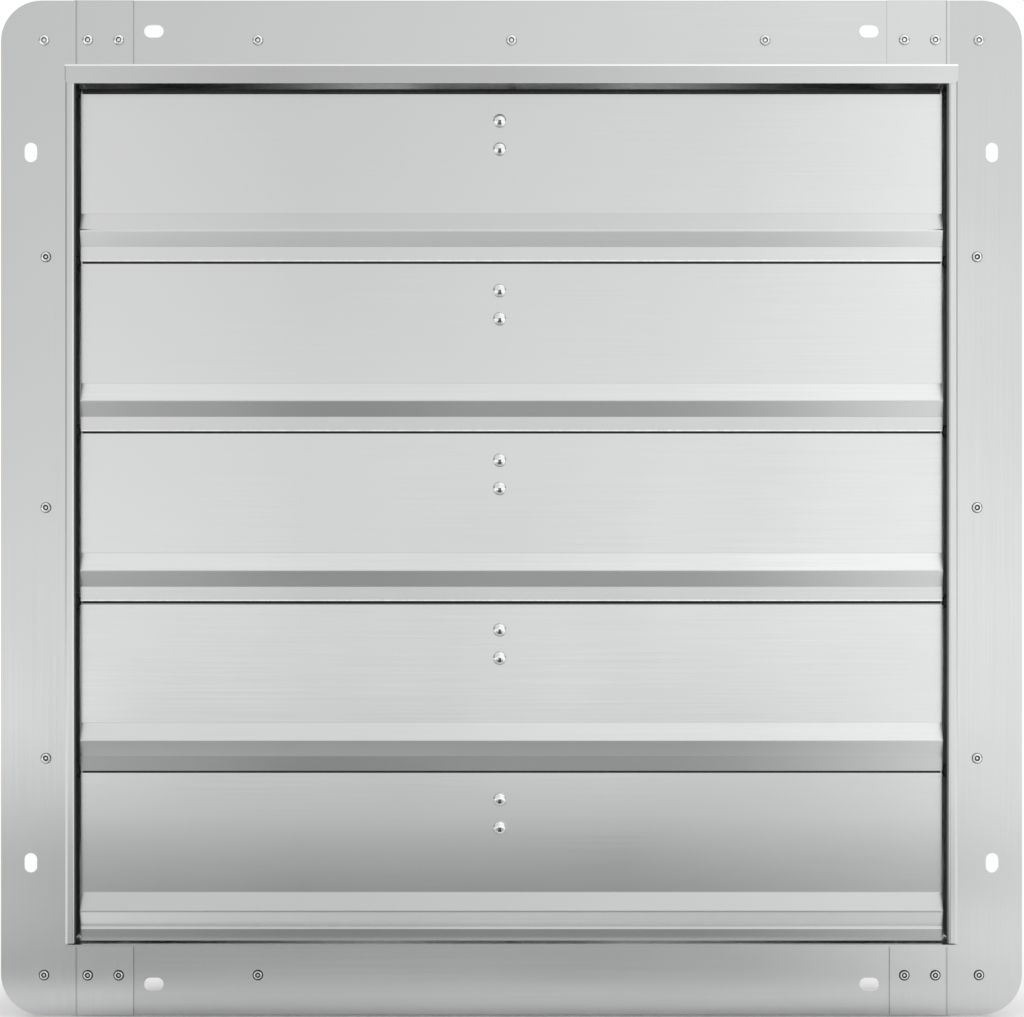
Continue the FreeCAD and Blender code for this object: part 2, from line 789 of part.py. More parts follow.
# Louvres: pressed sheet with a ridge, a hanging lip and ears for the pivot rod.
RIDGE_TOP = "0 - (louvre_drop - lip_height - ridge_below - ridge_above)"
RIDGE = "0 - (louvre_drop - lip_height - ridge_below)"
LIP_TOP = "0 - (louvre_drop - lip_height)"
FRONT_LINE = [("0 - face_setback", "0 - louvre_top_drop"), ("0 - face_setback", RIDGE_TOP),
              ("0 - face_setback - ridge_height", RIDGE), ("0 - face_setback - lip_step", LIP_TOP),
              ("0 - face_setback - lip_step", "0 - louvre_drop")]
DOME_R = "dome_shank / 2 + rivet_gap"
DOME_SPOTS = [("0 - dome_offset", "0 - dome_top"), ("0 - dome_offset", "0 - dome_top - dome_pitch")]
CRANK_X = "crank_offset"
BAR_X = "crank_offset + link_gap"


def louvre(number):
    body = new_body(f"louvre_{number}")
    section = sketch_on(body, "YZ_Plane")
    back_line = [(f"{y} + louvre_sheet", z) for y, z in reversed(FRONT_LINE)]
    polygon(section, FRONT_LINE + back_line)
    pad(body, section, "louvre_length", both=True)
    bend(body, section, [1, 2, 3, 6, 7, 8], "louvre_bend")
    for depth in ("louvre_length / 2 - louvre_sheet", "0 - louvre_length / 2"):
        ear = sketch_on(body, "YZ_Plane", depth)
        polygon(ear, [("0 - face_setback", "0 - ear_drop"), ("ear_reach", "0 - ear_reach"),
                      ("ear_reach", "ear_reach"), ("0 - inner_setback", "ear_reach"),
                      ("0 - inner_setback", "0 - louvre_top_drop"),
                      ("0 - face_setback", "0 - louvre_top_drop")])
        pad(body, ear, "louvre_sheet")
    holes(body, "YZ_Plane", [("0", "0", "rod_diameter / 2 + rivet_gap")])
    holes(body, "XZ_Plane", [(x, z, DOME_R) for x, z in DOME_SPOTS])
    put(body, y="pivot_y", z=f"pivot_{number}_z")
    keep(body, f"louvre_blade_{number}")


def crank(number):
    body = new_body(f"crank_{number}")
    leaf = sketch_on(body, "XZ_Plane", "inner_setback - crank_sheet")
    rectangle(leaf, f"{CRANK_X} - leaf_width", CRANK_X, "0 - leaf_bottom", "0 - leaf_top")
    pad(body, leaf, "crank_sheet")
    arm = sketch_on(body, "YZ_Plane", f"{CRANK_X} - crank_sheet")
    reach = "eye_diameter * eye_share"
    polygon(arm, [("0 - inner_setback", "0 - leaf_bottom"),
                  (f"eye_back + {reach}", f"eye_up - {reach}"),
                  (f"eye_back - {reach}", f"eye_up + {reach}"), ("0 - inner_setback", "0 - leaf_top")])
    pad(body, arm, "crank_sheet")
    eye = sketch_on(body, "YZ_Plane", f"{CRANK_X} - crank_sheet")
    circle(eye, "eye_back", "eye_up", "eye_diameter / 2")
    pad(body, eye, "crank_sheet")
    holes(body, "XZ_Plane", [(x, z, DOME_R) for x, z in DOME_SPOTS])
    holes(body, "YZ_Plane", [("eye_back", "eye_up", "pin_diameter / 2 + rivet_gap")])
    put(body, y="pivot_y", z=f"pivot_{number}_z")
    keep(body, f"crank_bracket_{number}")


dome_rivet = rivet("dome", "dome_head", "dome_rise", "dome_shank", "louvre_sheet + crank_sheet",
                   "dome_tail", "dome_tail_rise")
PIN_GRIP = "crank_sheet + 2 * link_gap + bar_sheet"
link_pin = join("link_pin", [
    rod("pin_shank", "pin_diameter / 2", PIN_GRIP),
    rod("pin_first_head", "pin_head / 2", "pin_head_rise", z="0 - pin_head_rise"),
    rod("pin_second_head", "pin_head / 2", "pin_head_rise", z=PIN_GRIP),
])

for number in LOUVRES:
    height = f"pivot_{number}_z"
    louvre(number)
    span = "2 * (box_x + rod_overhang)"
    spindle = rod(f"rod_{number}", "rod_diameter / 2", span, "0 - box_x - rod_overhang", "pivot_y", height,
                  TO_RIGHT)
    keep(spindle, f"pivot_rod_{number}")
    crank(number)
    copies = []
    for spot, (x, z) in enumerate(DOME_SPOTS, 1):
        copies.append(link(f"dome_{number}_{spot}", dome_rivet, x, "pivot_y - face_setback",
                           f"{height} + ({z})", TO_FRONT))
    copies.append(link(f"pin_{number}", link_pin, f"{CRANK_X} - crank_sheet", "eye_y",
                       f"{height} + eye_up", TO_RIGHT))
    keep(bundle(f"louvre_rivets_{number}_group", copies), f"louvre_rivets_{number}")

# Tie bar that moves the five cranks together.
tie_bar = new_body("tie_bar")
strip = sketch_on(tie_bar, "YZ_Plane", BAR_X)
rectangle(strip, "eye_y - bar_width / 2", "eye_y + bar_width / 2",
          "pivot_5_z + eye_up - bar_end", "pivot_1_z + eye_up + bar_end")
pad(tie_bar, strip, "bar_sheet")
bend(tie_bar, strip, [0, 1, 2, 3], "bar_corner")
bores = [("eye_y", f"pivot_{number}_z + eye_up", "pin_diameter / 2 + running_gap") for number in LOUVRES]
holes(tie_bar, "YZ_Plane", bores)
keep(tie_bar, "tie_bar")

# Panel with the round orifice and its rolled bell mouth.
venturi = new_body("venturi")
plate = sketch_on(venturi, "XZ_Plane", "0 - panel_y")
rectangle(plate, "panel_inset - housing_x", "housing_x - panel_inset",
          "panel_inset - housing_z", "housing_z - panel_inset")
circle(plate, "0", "0", "orifice_r")
pad(venturi, plate, "panel_sheet")
turn_solid(venturi, [("panel_y", "orifice_r"), ("housing_depth - collar_depth", "orifice_r"),
                     ("housing_depth - collar_depth", "orifice_r + panel_sheet"),
                     ("panel_y", "orifice_r + panel_sheet")])
outer = ring_edges(venturi, reading("housing_depth"), reading("orifice_r + panel_sheet"))
round_edges(venturi, outer, "bell_radius - panel_sheet")
inner = ring_edges(venturi, reading("panel_y"), reading("orifice_r"))
round_edges(venturi, inner, "bell_radius")
PANEL_SPOTS = []
for side in ("1", "-1"):
    for end in ("1", "-1"):
        PANEL_SPOTS.append((f"{side} * panel_screw_x", f"{end} * screw_spread_z"))
        PANEL_SPOTS.append((f"{side} * screw_spread_x", f"{end} * panel_screw_z"))
FOOT_SPOTS = []
for side in ("1", "-1"):
    for end in ("1", "-1"):
        FOOT_SPOTS.append((f"{side} * foot_hole_r / sqrt(2)", f"{end} * foot_hole_r / sqrt(2)"))
holes(venturi, "XZ_Plane", [(x, z, SCREW_R) for x, z in PANEL_SPOTS + FOOT_SPOTS])
keep(venturi, "venturi_panel")

panel_screw = slotted_screw("panel", "screw_head", "screw_rise", "screw_shank",
                            "panel_sheet + housing_sheet + screw_point")
copies = []
for number, (x, z) in enumerate(PANEL_SPOTS, 1):
    copies.append(link(f"panel_screw_{number}", panel_screw, x, "panel_y", z, TO_BACK))
keep(bundle("panel_screws_group", copies), "panel_screws")

# Wire guard: rings on eight bent spokes, with four screwed feet.
RADIAL = "guard_r - guard_bend"
spoke = join("spoke", [
    rod("spoke_leg", "spoke_wire / 2", "guard_rise - ring_wire / 2 - guard_bend", "0",
        "panel_y + ring_wire / 2", "guard_r", TO_BACK),
    torus("spoke_bend", "guard_bend", "spoke_wire / 2", "0", "guard_y - guard_bend", RADIAL, YZ_FRAME, 90),
    rod("spoke_arm", "spoke_wire / 2", f"{RADIAL} - spoke_inner", "0", "guard_y", "spoke_inner"),
])
foot = block("foot_plate", ("0 - foot_width / 2", "foot_width / 2"), ("panel_y", "panel_y + foot_sheet"),
             ("guard_r - spoke_wire / 2", "guard_r + foot_reach"))
bore = rod("foot_bore", SCREW_R, "foot_sheet + 2 * cut_overrun", "0", "panel_y - cut_overrun",
           "foot_hole_r", TO_BACK)
foot = take("foot", foot, bore)
pieces = around("guard_spoke", spoke, range(0, 360, 45))
pieces += around("guard_foot", foot, range(45, 360, 90))
pieces.append(torus("base_ring", "guard_r", "ring_wire / 2", y="panel_y + ring_wire / 2", turn=TO_BACK))
RING_STEP = "spoke_wire / 2 + ring_wire / 2 - weld_bite"
pieces.append(torus("side_ring", f"guard_r - ({RING_STEP})", "ring_wire / 2",
                    y="panel_y + guard_rise / 2", turn=TO_BACK))
for number in range(7):
    pieces.append(torus(f"face_ring_{number}", f"ring_first + {number} * ring_pitch", "ring_wire / 2",
                        y=f"guard_y - ({RING_STEP})", turn=TO_BACK))
keep(join("guard", pieces), "motor_guard")

foot_screw = slotted_screw("foot_fix", "screw_head", "screw_rise", "screw_shank",
                           "foot_sheet + panel_sheet + screw_point")
copies = []
for number, (x, z) in enumerate(FOOT_SPOTS, 1):
    copies.append(link(f"foot_screw_{number}", foot_screw, x, "panel_y + foot_sheet", z, TO_BACK))
keep(bundle("guard_screws_group", copies), "guard_screws")

# Motor: carrier plate, shell, two covers, stator and bearings.
BOLT_R = "bolt_diameter / 2 + rivet_gap"
BOLT_SPOTS = []
for side in ("1", "-1"):
    BOLT_SPOTS.append((f"{side} * bolt_circle / 2 * cos(67.5)", f"{side} * bolt_circle / 2 * sin(67.5)"))
    BOLT_SPOTS.append((f"{side} * bolt_circle / 2 * sin(67.5)", f"0 - {side} * bolt_circle / 2 * cos(67.5)"))
carrier = new_body("carrier")
disc = sketch_on(carrier, "XZ_Plane", "0 - plate_y")
circle(disc, "0", "0", "plate_diameter / 2")
pad(carrier, disc, "plate_sheet")
holes(carrier, "XZ_Plane", [(x, z, BOLT_R) for x, z in BOLT_SPOTS])
keep(carrier, "motor_plate")

shell = new_body("shell")
INSIDE = "motor_r - cover_wall"
turn_solid(shell, [("front_y + cover_depth", INSIDE), ("front_y + cover_depth", "motor_r"),
                   ("motor_y - cover_depth", "motor_r"), ("motor_y - cover_depth", INSIDE)])
keep(shell, "motor_housing")


def cover(name, base, way, hole):
    # way is 1 when the cover opens toward the back
    body = new_body(name)
    rim = f"{base} + {way} * cover_depth"
    floor = f"{base} + {way} * cover_wall"
    pocket = f"{floor} + {way} * bearing_width"
    boss = "bearing_r + boss_wall"
    turn_solid(body, [(base, hole), (base, "motor_r"), (rim, "motor_r"), (rim, INSIDE), (floor, INSIDE),
                      (floor, boss), (pocket, boss), (pocket, "bearing_r"), (floor, "bearing_r"),
                      (floor, hole)])
    round_edges(body, ring_edges(body, reading(base), reading("motor_r")), "cover_edge")
    return body


front_cover = cover("front_cover", "front_y", "1", "shaft_r + shaft_clearance")
keep(front_cover, "motor_front_cover")
rear_cover = cover("rear_cover", "motor_y", "-1", "0")
holes(rear_cover, "XZ_Plane", [(x, z, BOLT_R) for x, z in BOLT_SPOTS])
keep(rear_cover, "motor_rear_cover")

stator = new_body("stator")
STATOR_0 = "middle_y - stator_length / 2"
STATOR_1 = "middle_y + stator_length / 2"
turn_solid(stator, [(STATOR_0, "stator_bore / 2"), (STATOR_0, "core_r"),
                    (STATOR_1, "core_r"), (STATOR_1, "stator_bore / 2")])
keep(stator, "stator_core")
coils = []
for name, start in (("front_coil", f"{STATOR_0} - winding_length"), ("rear_coil", STATOR_1)):
    ring = new_body(name)
    low = "stator_bore / 2 + winding_inset"
    high = "core_r - winding_inset"
    turn_solid(ring, [(start, low), (start, high), (f"{start} + winding_length", high),
                      (f"{start} + winding_length", low)])
    coils.append(ring)
keep(bundle("stator_windings_group", coils), "stator_windings")

for label, start in (("front_bearing", "front_y + cover_wall"),
                     ("rear_bearing", "motor_y - cover_wall - bearing_width")):
    ring = new_body(label)
    low = "shaft_r + slip_gap"
    high = "bearing_r - slip_gap"
    turn_solid(ring, [(start, low), (start, high), (f"{start} + bearing_width", high),
                      (f"{start} + bearing_width", low)])
    keep(ring, label)

head = doc.addObject("Part::Prism", "bolt_head")
head.Polygon = 6
bind(head, Circumradius="bolt_head / 2", Height="bolt_head_rise")
bolt = join("motor_bolt", [head, rod("bolt_shank", "bolt_diameter / 2", "bolt_grip", z="0 - bolt_grip")])
copies = []
for number, (x, z) in enumerate(BOLT_SPOTS, 1):
    copies.append(link(f"motor_bolt_{number}", bolt, x, "plate_y", z, TO_BACK))
keep(bundle("motor_bolts_group", copies), "motor_bolts")

# Terminal box on the motor shell, with the run capacitor inside and a gland for the supply.
span_x = ("0 - terminal_x", "terminal_x")
span_y = ("middle_y - terminal_y", "middle_y + terminal_y")
outside = block("terminal_outside", span_x, span_y, ("terminal_base", "terminal_top"))
inside = block("terminal_inside", ("terminal_wall - terminal_x", "terminal_x - terminal_wall"),
               ("middle_y - terminal_y + terminal_wall", "middle_y + terminal_y - terminal_wall"),
               ("terminal_floor_z", "terminal_top + cut_overrun"))
posts = []
lid_spots = []
for side in ("1", "-1"):
    for end in ("1", "-1"):
        x = f"{side} * post_x"
        y = f"middle_y + {end} * post_y"
        lid_spots.append((x, y))
        posts.append(block("post", (f"{x} - terminal_post / 2", f"{x} + terminal_post / 2"),
                           (f"{y} - terminal_post / 2", f"{y} + terminal_post / 2"),
                           ("terminal_floor_z", "terminal_top")))
walls = take("terminal_walls", outside, inside)
solid = join("terminal_solid", [walls] + posts)
cutters = [rod("saddle", "motor_r + weld_gap", "terminal_length + 2 * cut_overrun", "0",
               "middle_y - terminal_y - cut_overrun", "0", TO_BACK)]
LID_R = "lid_screw_shank / 2 + rivet_gap"
for x, y in lid_spots:
    cutters.append(rod("lid_bore", LID_R, "lid_screw_length", x, y, "terminal_top - lid_screw_length"))
GLAND_Z = "(terminal_floor_z + terminal_top) / 2"
cutters.append(rod("gland_hole", "gland_thread / 2 + rivet_gap", "terminal_wall + 2 * cut_overrun",
                   "terminal_x - terminal_wall - cut_overrun", "middle_y", GLAND_Z, TO_RIGHT))
keep(take("terminal", solid, join("terminal_cutters", cutters)), "terminal_box")

lid = block("lid_plate", span_x, span_y, ("terminal_top", "terminal_top + lid_sheet"))
bores = []
for x, y in lid_spots:
    bores.append(rod("lid_hole", LID_R, "lid_sheet + 2 * cut_overrun", x, y, "terminal_top - cut_overrun"))
keep(take("lid", lid, join("lid_holes", bores)), "terminal_lid")
lid_screw = slotted_screw("lid_fix", "lid_screw_head", "lid_screw_rise", "lid_screw_shank", "lid_screw_length")
copies = []
for number, (x, y) in enumerate(lid_spots, 1):
    copies.append(link(f"lid_screw_{number}", lid_screw, x, y, "terminal_top + lid_sheet"))
keep(bundle("lid_screws_group", copies), "lid_screws")

keep(rod("capacitor", "capacitor_diameter / 2", "capacitor_length", "0 - terminal_x + terminal_wall", "middle_y",
         "terminal_floor_z + capacitor_diameter / 2", TO_RIGHT), "run_capacitor")

nut = doc.addObject("Part::Prism", "gland_nut")
nut.Polygon = 6
bind(nut, Circumradius="gland_hex / 2", Height="gland_hex_length")
put(nut, "terminal_x", "middle_y", GLAND_Z, TO_RIGHT)
thread = rod("gland_stem", "gland_thread / 2", "terminal_wall + gland_tail",
             "terminal_x - terminal_wall - gland_tail", "middle_y", GLAND_Z, TO_RIGHT)
cap = doc.addObject("Part::Cone", "gland_cap_cone")
bind(cap, Radius1="gland_cap / 2", Radius2="gland_cap / 2 - gland_cap_edge", Height="gland_cap_length")
put(cap, "terminal_x + gland_hex_length", "middle_y", GLAND_Z, TO_RIGHT)
gland_length = "terminal_wall + gland_tail + gland_hex_length + gland_cap_length"
bore = rod("gland_opening", "gland_bore / 2", f"{gland_length} + 2 * cut_overrun",
           "terminal_x - terminal_wall - gland_tail - cut_overrun", "middle_y", GLAND_Z, TO_RIGHT)
keep(take("gland", join("gland_solid", [nut, thread, cap]), bore), "cable_gland")

# Rotor: shaft, core, hub, spider and four riveted blades.
SHAFT_0 = "spider_y - spider_sheet / 2 - shaft_stub"
SHAFT_1 = "motor_y - cover_wall - shaft_end_gap"
keep(rod("shaft", "shaft_r", f"({SHAFT_1}) - ({SHAFT_0})", "0", SHAFT_0, "0", TO_BACK), "motor_shaft")
core = new_body("core")
turn_solid(core, [(STATOR_0, "shaft_r + slip_gap"), (STATOR_0, "stator_bore / 2 - air_gap"),
                  (STATOR_1, "stator_bore / 2 - air_gap"), (STATOR_1, "shaft_r + slip_gap")])
keep(core, "rotor_core")

HUB_RIVETS = [("hub_rivet_circle / 2", "0"), ("0", "hub_rivet_circle / 2"),
              ("0 - hub_rivet_circle / 2", "0"), ("0", "0 - hub_rivet_circle / 2")]
BLADE_RIVET_R = "blade_rivet / 2 + rivet_gap"
SCREW_Y = "hub_y + (hub_flange_sheet + hub_length) / 2"
hub = new_body("hub")
turn_solid(hub, [("hub_y", "shaft_r + slip_gap"), ("hub_y", "hub_flange / 2"),
                 ("hub_y + hub_flange_sheet", "hub_flange / 2"),
                 ("hub_y + hub_flange_sheet", "hub_diameter / 2"),
                 ("hub_y + hub_length", "hub_diameter / 2"), ("hub_y + hub_length", "shaft_r + slip_gap")])
holes(hub, "XZ_Plane", [(x, z, BLADE_RIVET_R) for x, z in HUB_RIVETS])
tapped = sketch_on(hub, "XY_Plane", "hub_diameter / 4 + shaft_r / 2")
circle(tapped, "0", SCREW_Y, "set_screw / 2 + rivet_gap")
cut(hub, tapped, "hub_diameter / 2")
keep(hub, "fan_hub")
keep(rod("grub", "set_screw / 2", "hub_diameter / 2 - shaft_r - 2 * set_screw_gap", "0", SCREW_Y,
         "shaft_r + set_screw_gap"), "hub_set_screw")

disc = rod("spider_plate", "spider_disc / 2", "spider_sheet", "0", "spider_y - spider_sheet / 2", "0", TO_BACK)
arm = doc.addObject("Part::Box", "spider_arm_box")
bind(arm, Length="arm_width", Width="spider_sheet", Height="arm_outer - arm_inner")
put(arm, "0 - arm_width / 2", "0 - spider_sheet / 2", "arm_inner")
RIVET_ROW = [f"blade_rivet_inner + {number} * blade_rivet_pitch" for number in range(3)]
bores = []
for z in RIVET_ROW:
    bores.append(rod("arm_bore", BLADE_RIVET_R, "spider_sheet + 2 * cut_overrun", "0",
                     "0 - spider_sheet / 2 - cut_overrun", z, TO_BACK))
arm = take("spider_arm", arm, join("arm_bores", bores))
pitched = Rotation(Vector(0, 0, 1), reading("root_pitch_angle"))


def pitched_copies(label, master):
    # sets a piece at the blade pitch on each of the four arms
    copies = []
    for number in range(4):
        spin = Rotation(Vector(0, 1, 0), 90 * number) * pitched
        copies.append(link(f"{label}_{number + 1}", master, y="spider_y", turn=spin))
    return copies


star = join("spider_star", [disc] + pitched_copies("spider_arm_copy", arm))
bores = [rod("spider_eye", "shaft_r + slip_gap", "spider_sheet + 2 * cut_overrun", "0",
             "spider_y - spider_sheet / 2 - cut_overrun", "0", TO_BACK)]
for x, z in HUB_RIVETS:
    bores.append(rod("spider_bore", BLADE_RIVET_R, "spider_sheet + 2 * cut_overrun", x,
                     "spider_y - spider_sheet / 2 - cut_overrun", z, TO_BACK))
keep(take("spider", star, join("spider_bores", bores)), "fan_spider")


# Blade form: an arched sheet that turns flatter and wider toward the tip.
def blade_section(share):
    root = reading("blade_root")
    tip = reading("tip_r + blade_tip_overrun")
    grip = reading("blade_grip_share")
    late = max(0.0, (share - grip) / (1 - grip))
    chord = reading("blade_root_chord") + late * reading("blade_tip_chord - blade_root_chord")
    twist = math.radians(late * reading("tip_pitch_angle - root_pitch_angle"))
    rise = chord * reading("blade_camber_share")
    half = reading("blade_sheet / 2")
    seat = -reading("spider_sheet / 2 + blade_seat_gap") - half - rise

    def spot(u, n):
        return Vector(u * math.cos(twist) - (n + seat) * math.sin(twist),
                      u * math.sin(twist) + (n + seat) * math.cos(twist), root + share * (tip - root))

    rear = Part.Arc(spot(-chord / 2, half), spot(0, rise + half), spot(chord / 2, half)).toShape()
    front = Part.Arc(spot(chord / 2, -half), spot(0, rise - half), spot(-chord / 2, -half)).toShape()
    ends = [Part.makeLine(spot(chord / 2, half), spot(chord / 2, -half)),
            Part.makeLine(spot(-chord / 2, -half), spot(-chord / 2, half))]
    return Part.Wire([rear, ends[0], front, ends[1]])


grip = reading("blade_grip_share")
steps = [0, grip / 2, grip, (1 + grip) / 2, 1]
form = doc.addObject("Part::Feature", "blade_form")
form.Shape = Part.makeLoft([blade_section(step) for step in steps], True, False)
bores = []
for z in RIVET_ROW:
    bores.append(rod("blade_bore", BLADE_RIVET_R, "blade_root_chord", "0", "0 - blade_root_chord / 2", z, TO_BACK))
drilled = take("blade_drilled", form, join("blade_bores", bores))
sweep = rod("tip_sweep", "tip_r", "blade_tip_chord", "0", "0 - blade_tip_chord / 2", "0", TO_BACK)
for number, copy in enumerate(pitched_copies("blade_copy", drilled), 1):
    trimmed = doc.addObject("Part::MultiCommon", f"blade_{number}")
    level = link(f"tip_sweep_{number}", sweep, y="spider_y - blade_tip_chord / 2", turn=TO_BACK)
    trimmed.Shapes = [copy, level]
    keep(trimmed, f"fan_blade_{number}")

BLADE_GRIP = "spider_sheet + blade_seat_gap + blade_sheet"
blade_pin = rivet("blade_fix", "blade_rivet_head", "blade_rivet_rise", "blade_rivet", BLADE_GRIP)
rivet_rows = []
for number, z in enumerate(RIVET_ROW, 1):
    rivet_rows.append(link(f"row_rivet_{number}", blade_pin, "0", "spider_sheet / 2", z, TO_BACK))
row = bundle("blade_rivet_row", rivet_rows)
copies = pitched_copies("rivet_row", row)
HUB_GRIP = "spider_sheet + hub_flange_sheet"
hub_pin = rivet("hub_fix", "blade_rivet_head", "blade_rivet_rise", "blade_rivet", HUB_GRIP)
for number, (x, z) in enumerate(HUB_RIVETS, 1):
    copies.append(link(f"hub_rivet_{number}", hub_pin, x, "hub_y + hub_flange_sheet", z, TO_BACK))
keep(bundle("rotor_rivets_group", copies), "rotor_rivets")

doc.recompute()
for item in doc.Objects:
    if "Invalid" in item.State or "Error" in item.State:
        raise RuntimeError(item.Label + " did not build")
for item in nodes:
    if item.Shape.isNull() or not item.Shape.isValid():
        raise RuntimeError(item.Label + " has no sound shape")
    item.Shape.exportStep(f"parts/{item.Label}.step")
print(len(nodes), "nodes written")
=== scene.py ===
import math

import bmesh
import bpy
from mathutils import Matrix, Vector


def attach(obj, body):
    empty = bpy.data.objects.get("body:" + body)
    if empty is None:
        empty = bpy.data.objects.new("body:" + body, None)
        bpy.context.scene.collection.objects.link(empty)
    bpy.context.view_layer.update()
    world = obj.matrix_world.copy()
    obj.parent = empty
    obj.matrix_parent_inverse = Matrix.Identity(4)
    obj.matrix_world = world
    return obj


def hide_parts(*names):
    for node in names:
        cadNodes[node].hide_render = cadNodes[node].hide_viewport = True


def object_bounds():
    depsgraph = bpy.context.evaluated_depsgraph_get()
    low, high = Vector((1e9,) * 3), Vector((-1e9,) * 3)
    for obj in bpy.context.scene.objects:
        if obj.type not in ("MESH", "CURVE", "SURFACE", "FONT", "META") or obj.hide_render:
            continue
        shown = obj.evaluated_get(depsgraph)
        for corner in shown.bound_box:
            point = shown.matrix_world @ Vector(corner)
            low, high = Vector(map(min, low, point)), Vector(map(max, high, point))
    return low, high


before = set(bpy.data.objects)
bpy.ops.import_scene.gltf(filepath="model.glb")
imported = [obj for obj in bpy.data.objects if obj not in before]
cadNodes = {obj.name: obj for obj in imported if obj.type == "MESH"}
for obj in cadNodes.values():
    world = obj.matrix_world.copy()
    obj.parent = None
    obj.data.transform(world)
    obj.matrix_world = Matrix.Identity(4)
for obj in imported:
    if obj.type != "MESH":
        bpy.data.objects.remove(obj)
cadLow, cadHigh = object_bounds()
scene = bpy.context.scene
print("frame in place:", len(cadNodes), "nodes")


# small helpers for shader trees

def startFinish(name):
    finish = bpy.data.materials.new(name)
    finish.use_nodes = True
    return finish, finish.node_tree, finish.node_tree.nodes["Principled BSDF"]


def addNode(tree, kind, values=None):
    node = tree.nodes.new(kind)
    for socket, value in (values or {}).items():
        node.inputs[socket].default_value = value
    return node


def noiseField(tree, stretch, scale, detail=2.0, roughness=0.5):
    place = addNode(tree, "ShaderNodeTexCoord")
    mapping = addNode(tree, "ShaderNodeMapping", {"Scale": stretch})
    noise = addNode(tree, "ShaderNodeTexNoise", {"Scale": scale, "Detail": detail, "Roughness": roughness})
    tree.links.new(place.outputs["Object"], mapping.inputs["Vector"])
    tree.links.new(mapping.outputs["Vector"], noise.inputs["Vector"])
    return noise.outputs["Fac"]


def splitAxes(tree, space="Object"):
    place = addNode(tree, "ShaderNodeTexCoord")
    axes = addNode(tree, "ShaderNodeSeparateXYZ")
    tree.links.new(place.outputs[space], axes.inputs["Vector"])
    return axes.outputs


def remap(tree, field, low, high, outLow, outHigh):
    node = addNode(tree, "ShaderNodeMapRange",
                   {"From Min": low, "From Max": high, "To Min": outLow, "To Max": outHigh})
    tree.links.new(field, node.inputs["Value"])
    return node.outputs["Result"]


def smoothRemap(tree, field, low, high, outLow=0.0, outHigh=1.0):
    step = remap(tree, field, low, high, outLow, outHigh)
    step.node.interpolation_type = "SMOOTHSTEP"
    return step


def combine(tree, how, first, second):
    node = addNode(tree, "ShaderNodeMath")
    node.operation = how
    for socket, value in zip(node.inputs, (first, second)):
        if isinstance(value, (int, float)):
            socket.default_value = value
        else:
            tree.links.new(value, socket)
    return node.outputs["Value"]


def blendColour(tree, field, first, second):
    node = addNode(tree, "ShaderNodeMix")
    node.data_type = "RGBA"
    fromSocket, toSocket = [s for s in node.inputs if s.type == "RGBA"]
    if isinstance(first, tuple):
        fromSocket.default_value = (*first, 1.0)
    else:
        tree.links.new(first, fromSocket)
    toSocket.default_value = (*second, 1.0)
    tree.links.new(field, node.inputs["Factor"])
    return [s for s in node.outputs if s.type == "RGBA"][0]


def addBump(tree, shader, field, strength, distance, under=None):
    bump = addNode(tree, "ShaderNodeBump", {"Strength": strength, "Distance": distance})
    tree.links.new(field, bump.inputs["Height"])
    if under is not None:
        tree.links.new(under.outputs["Normal"], bump.inputs["Normal"])
    tree.links.new(bump.outputs["Normal"], shader.inputs["Normal"])
    return bump


def dress(nodeNames, finish):
    for nodeName in nodeNames:
        mesh = cadNodes[nodeName].data
        mesh.materials.clear()
        mesh.materials.append(finish)


# mill-finish aluminium sheet, with its rolling grain along one direction

millSheet = {
    "pale": (0.675, 0.680, 0.682),
    "dullAndShade": (0.639, 0.644, 0.647),
    "smooth": 0.14,
    "rough": 0.21,
    "grainLength": 9.0,      # grain cells per metre along the roll
    "grainWidth": 1100.0,    # and across it
    "grainTone": 0.15,
    "grainSheen": 0.02,
    "grainBump": 0.010,
    "grainDepth": 0.0004,
    "patchScale": 5.0,
    "patchTone": (0.1, 0.9),
    "nickScale": 260.0,
    "nickFrom": 0.62,
    "nickTo": 0.80,
    "bowScale": 4.0,
    "bowBump": 0.10,
    "bowDepth": 0.004,
    # colours of painted shade and painted highlights
    "shadow": (0.02, 0.02, 0.02),
    "highlightColour": (0.95, 0.95, 0.95),
}


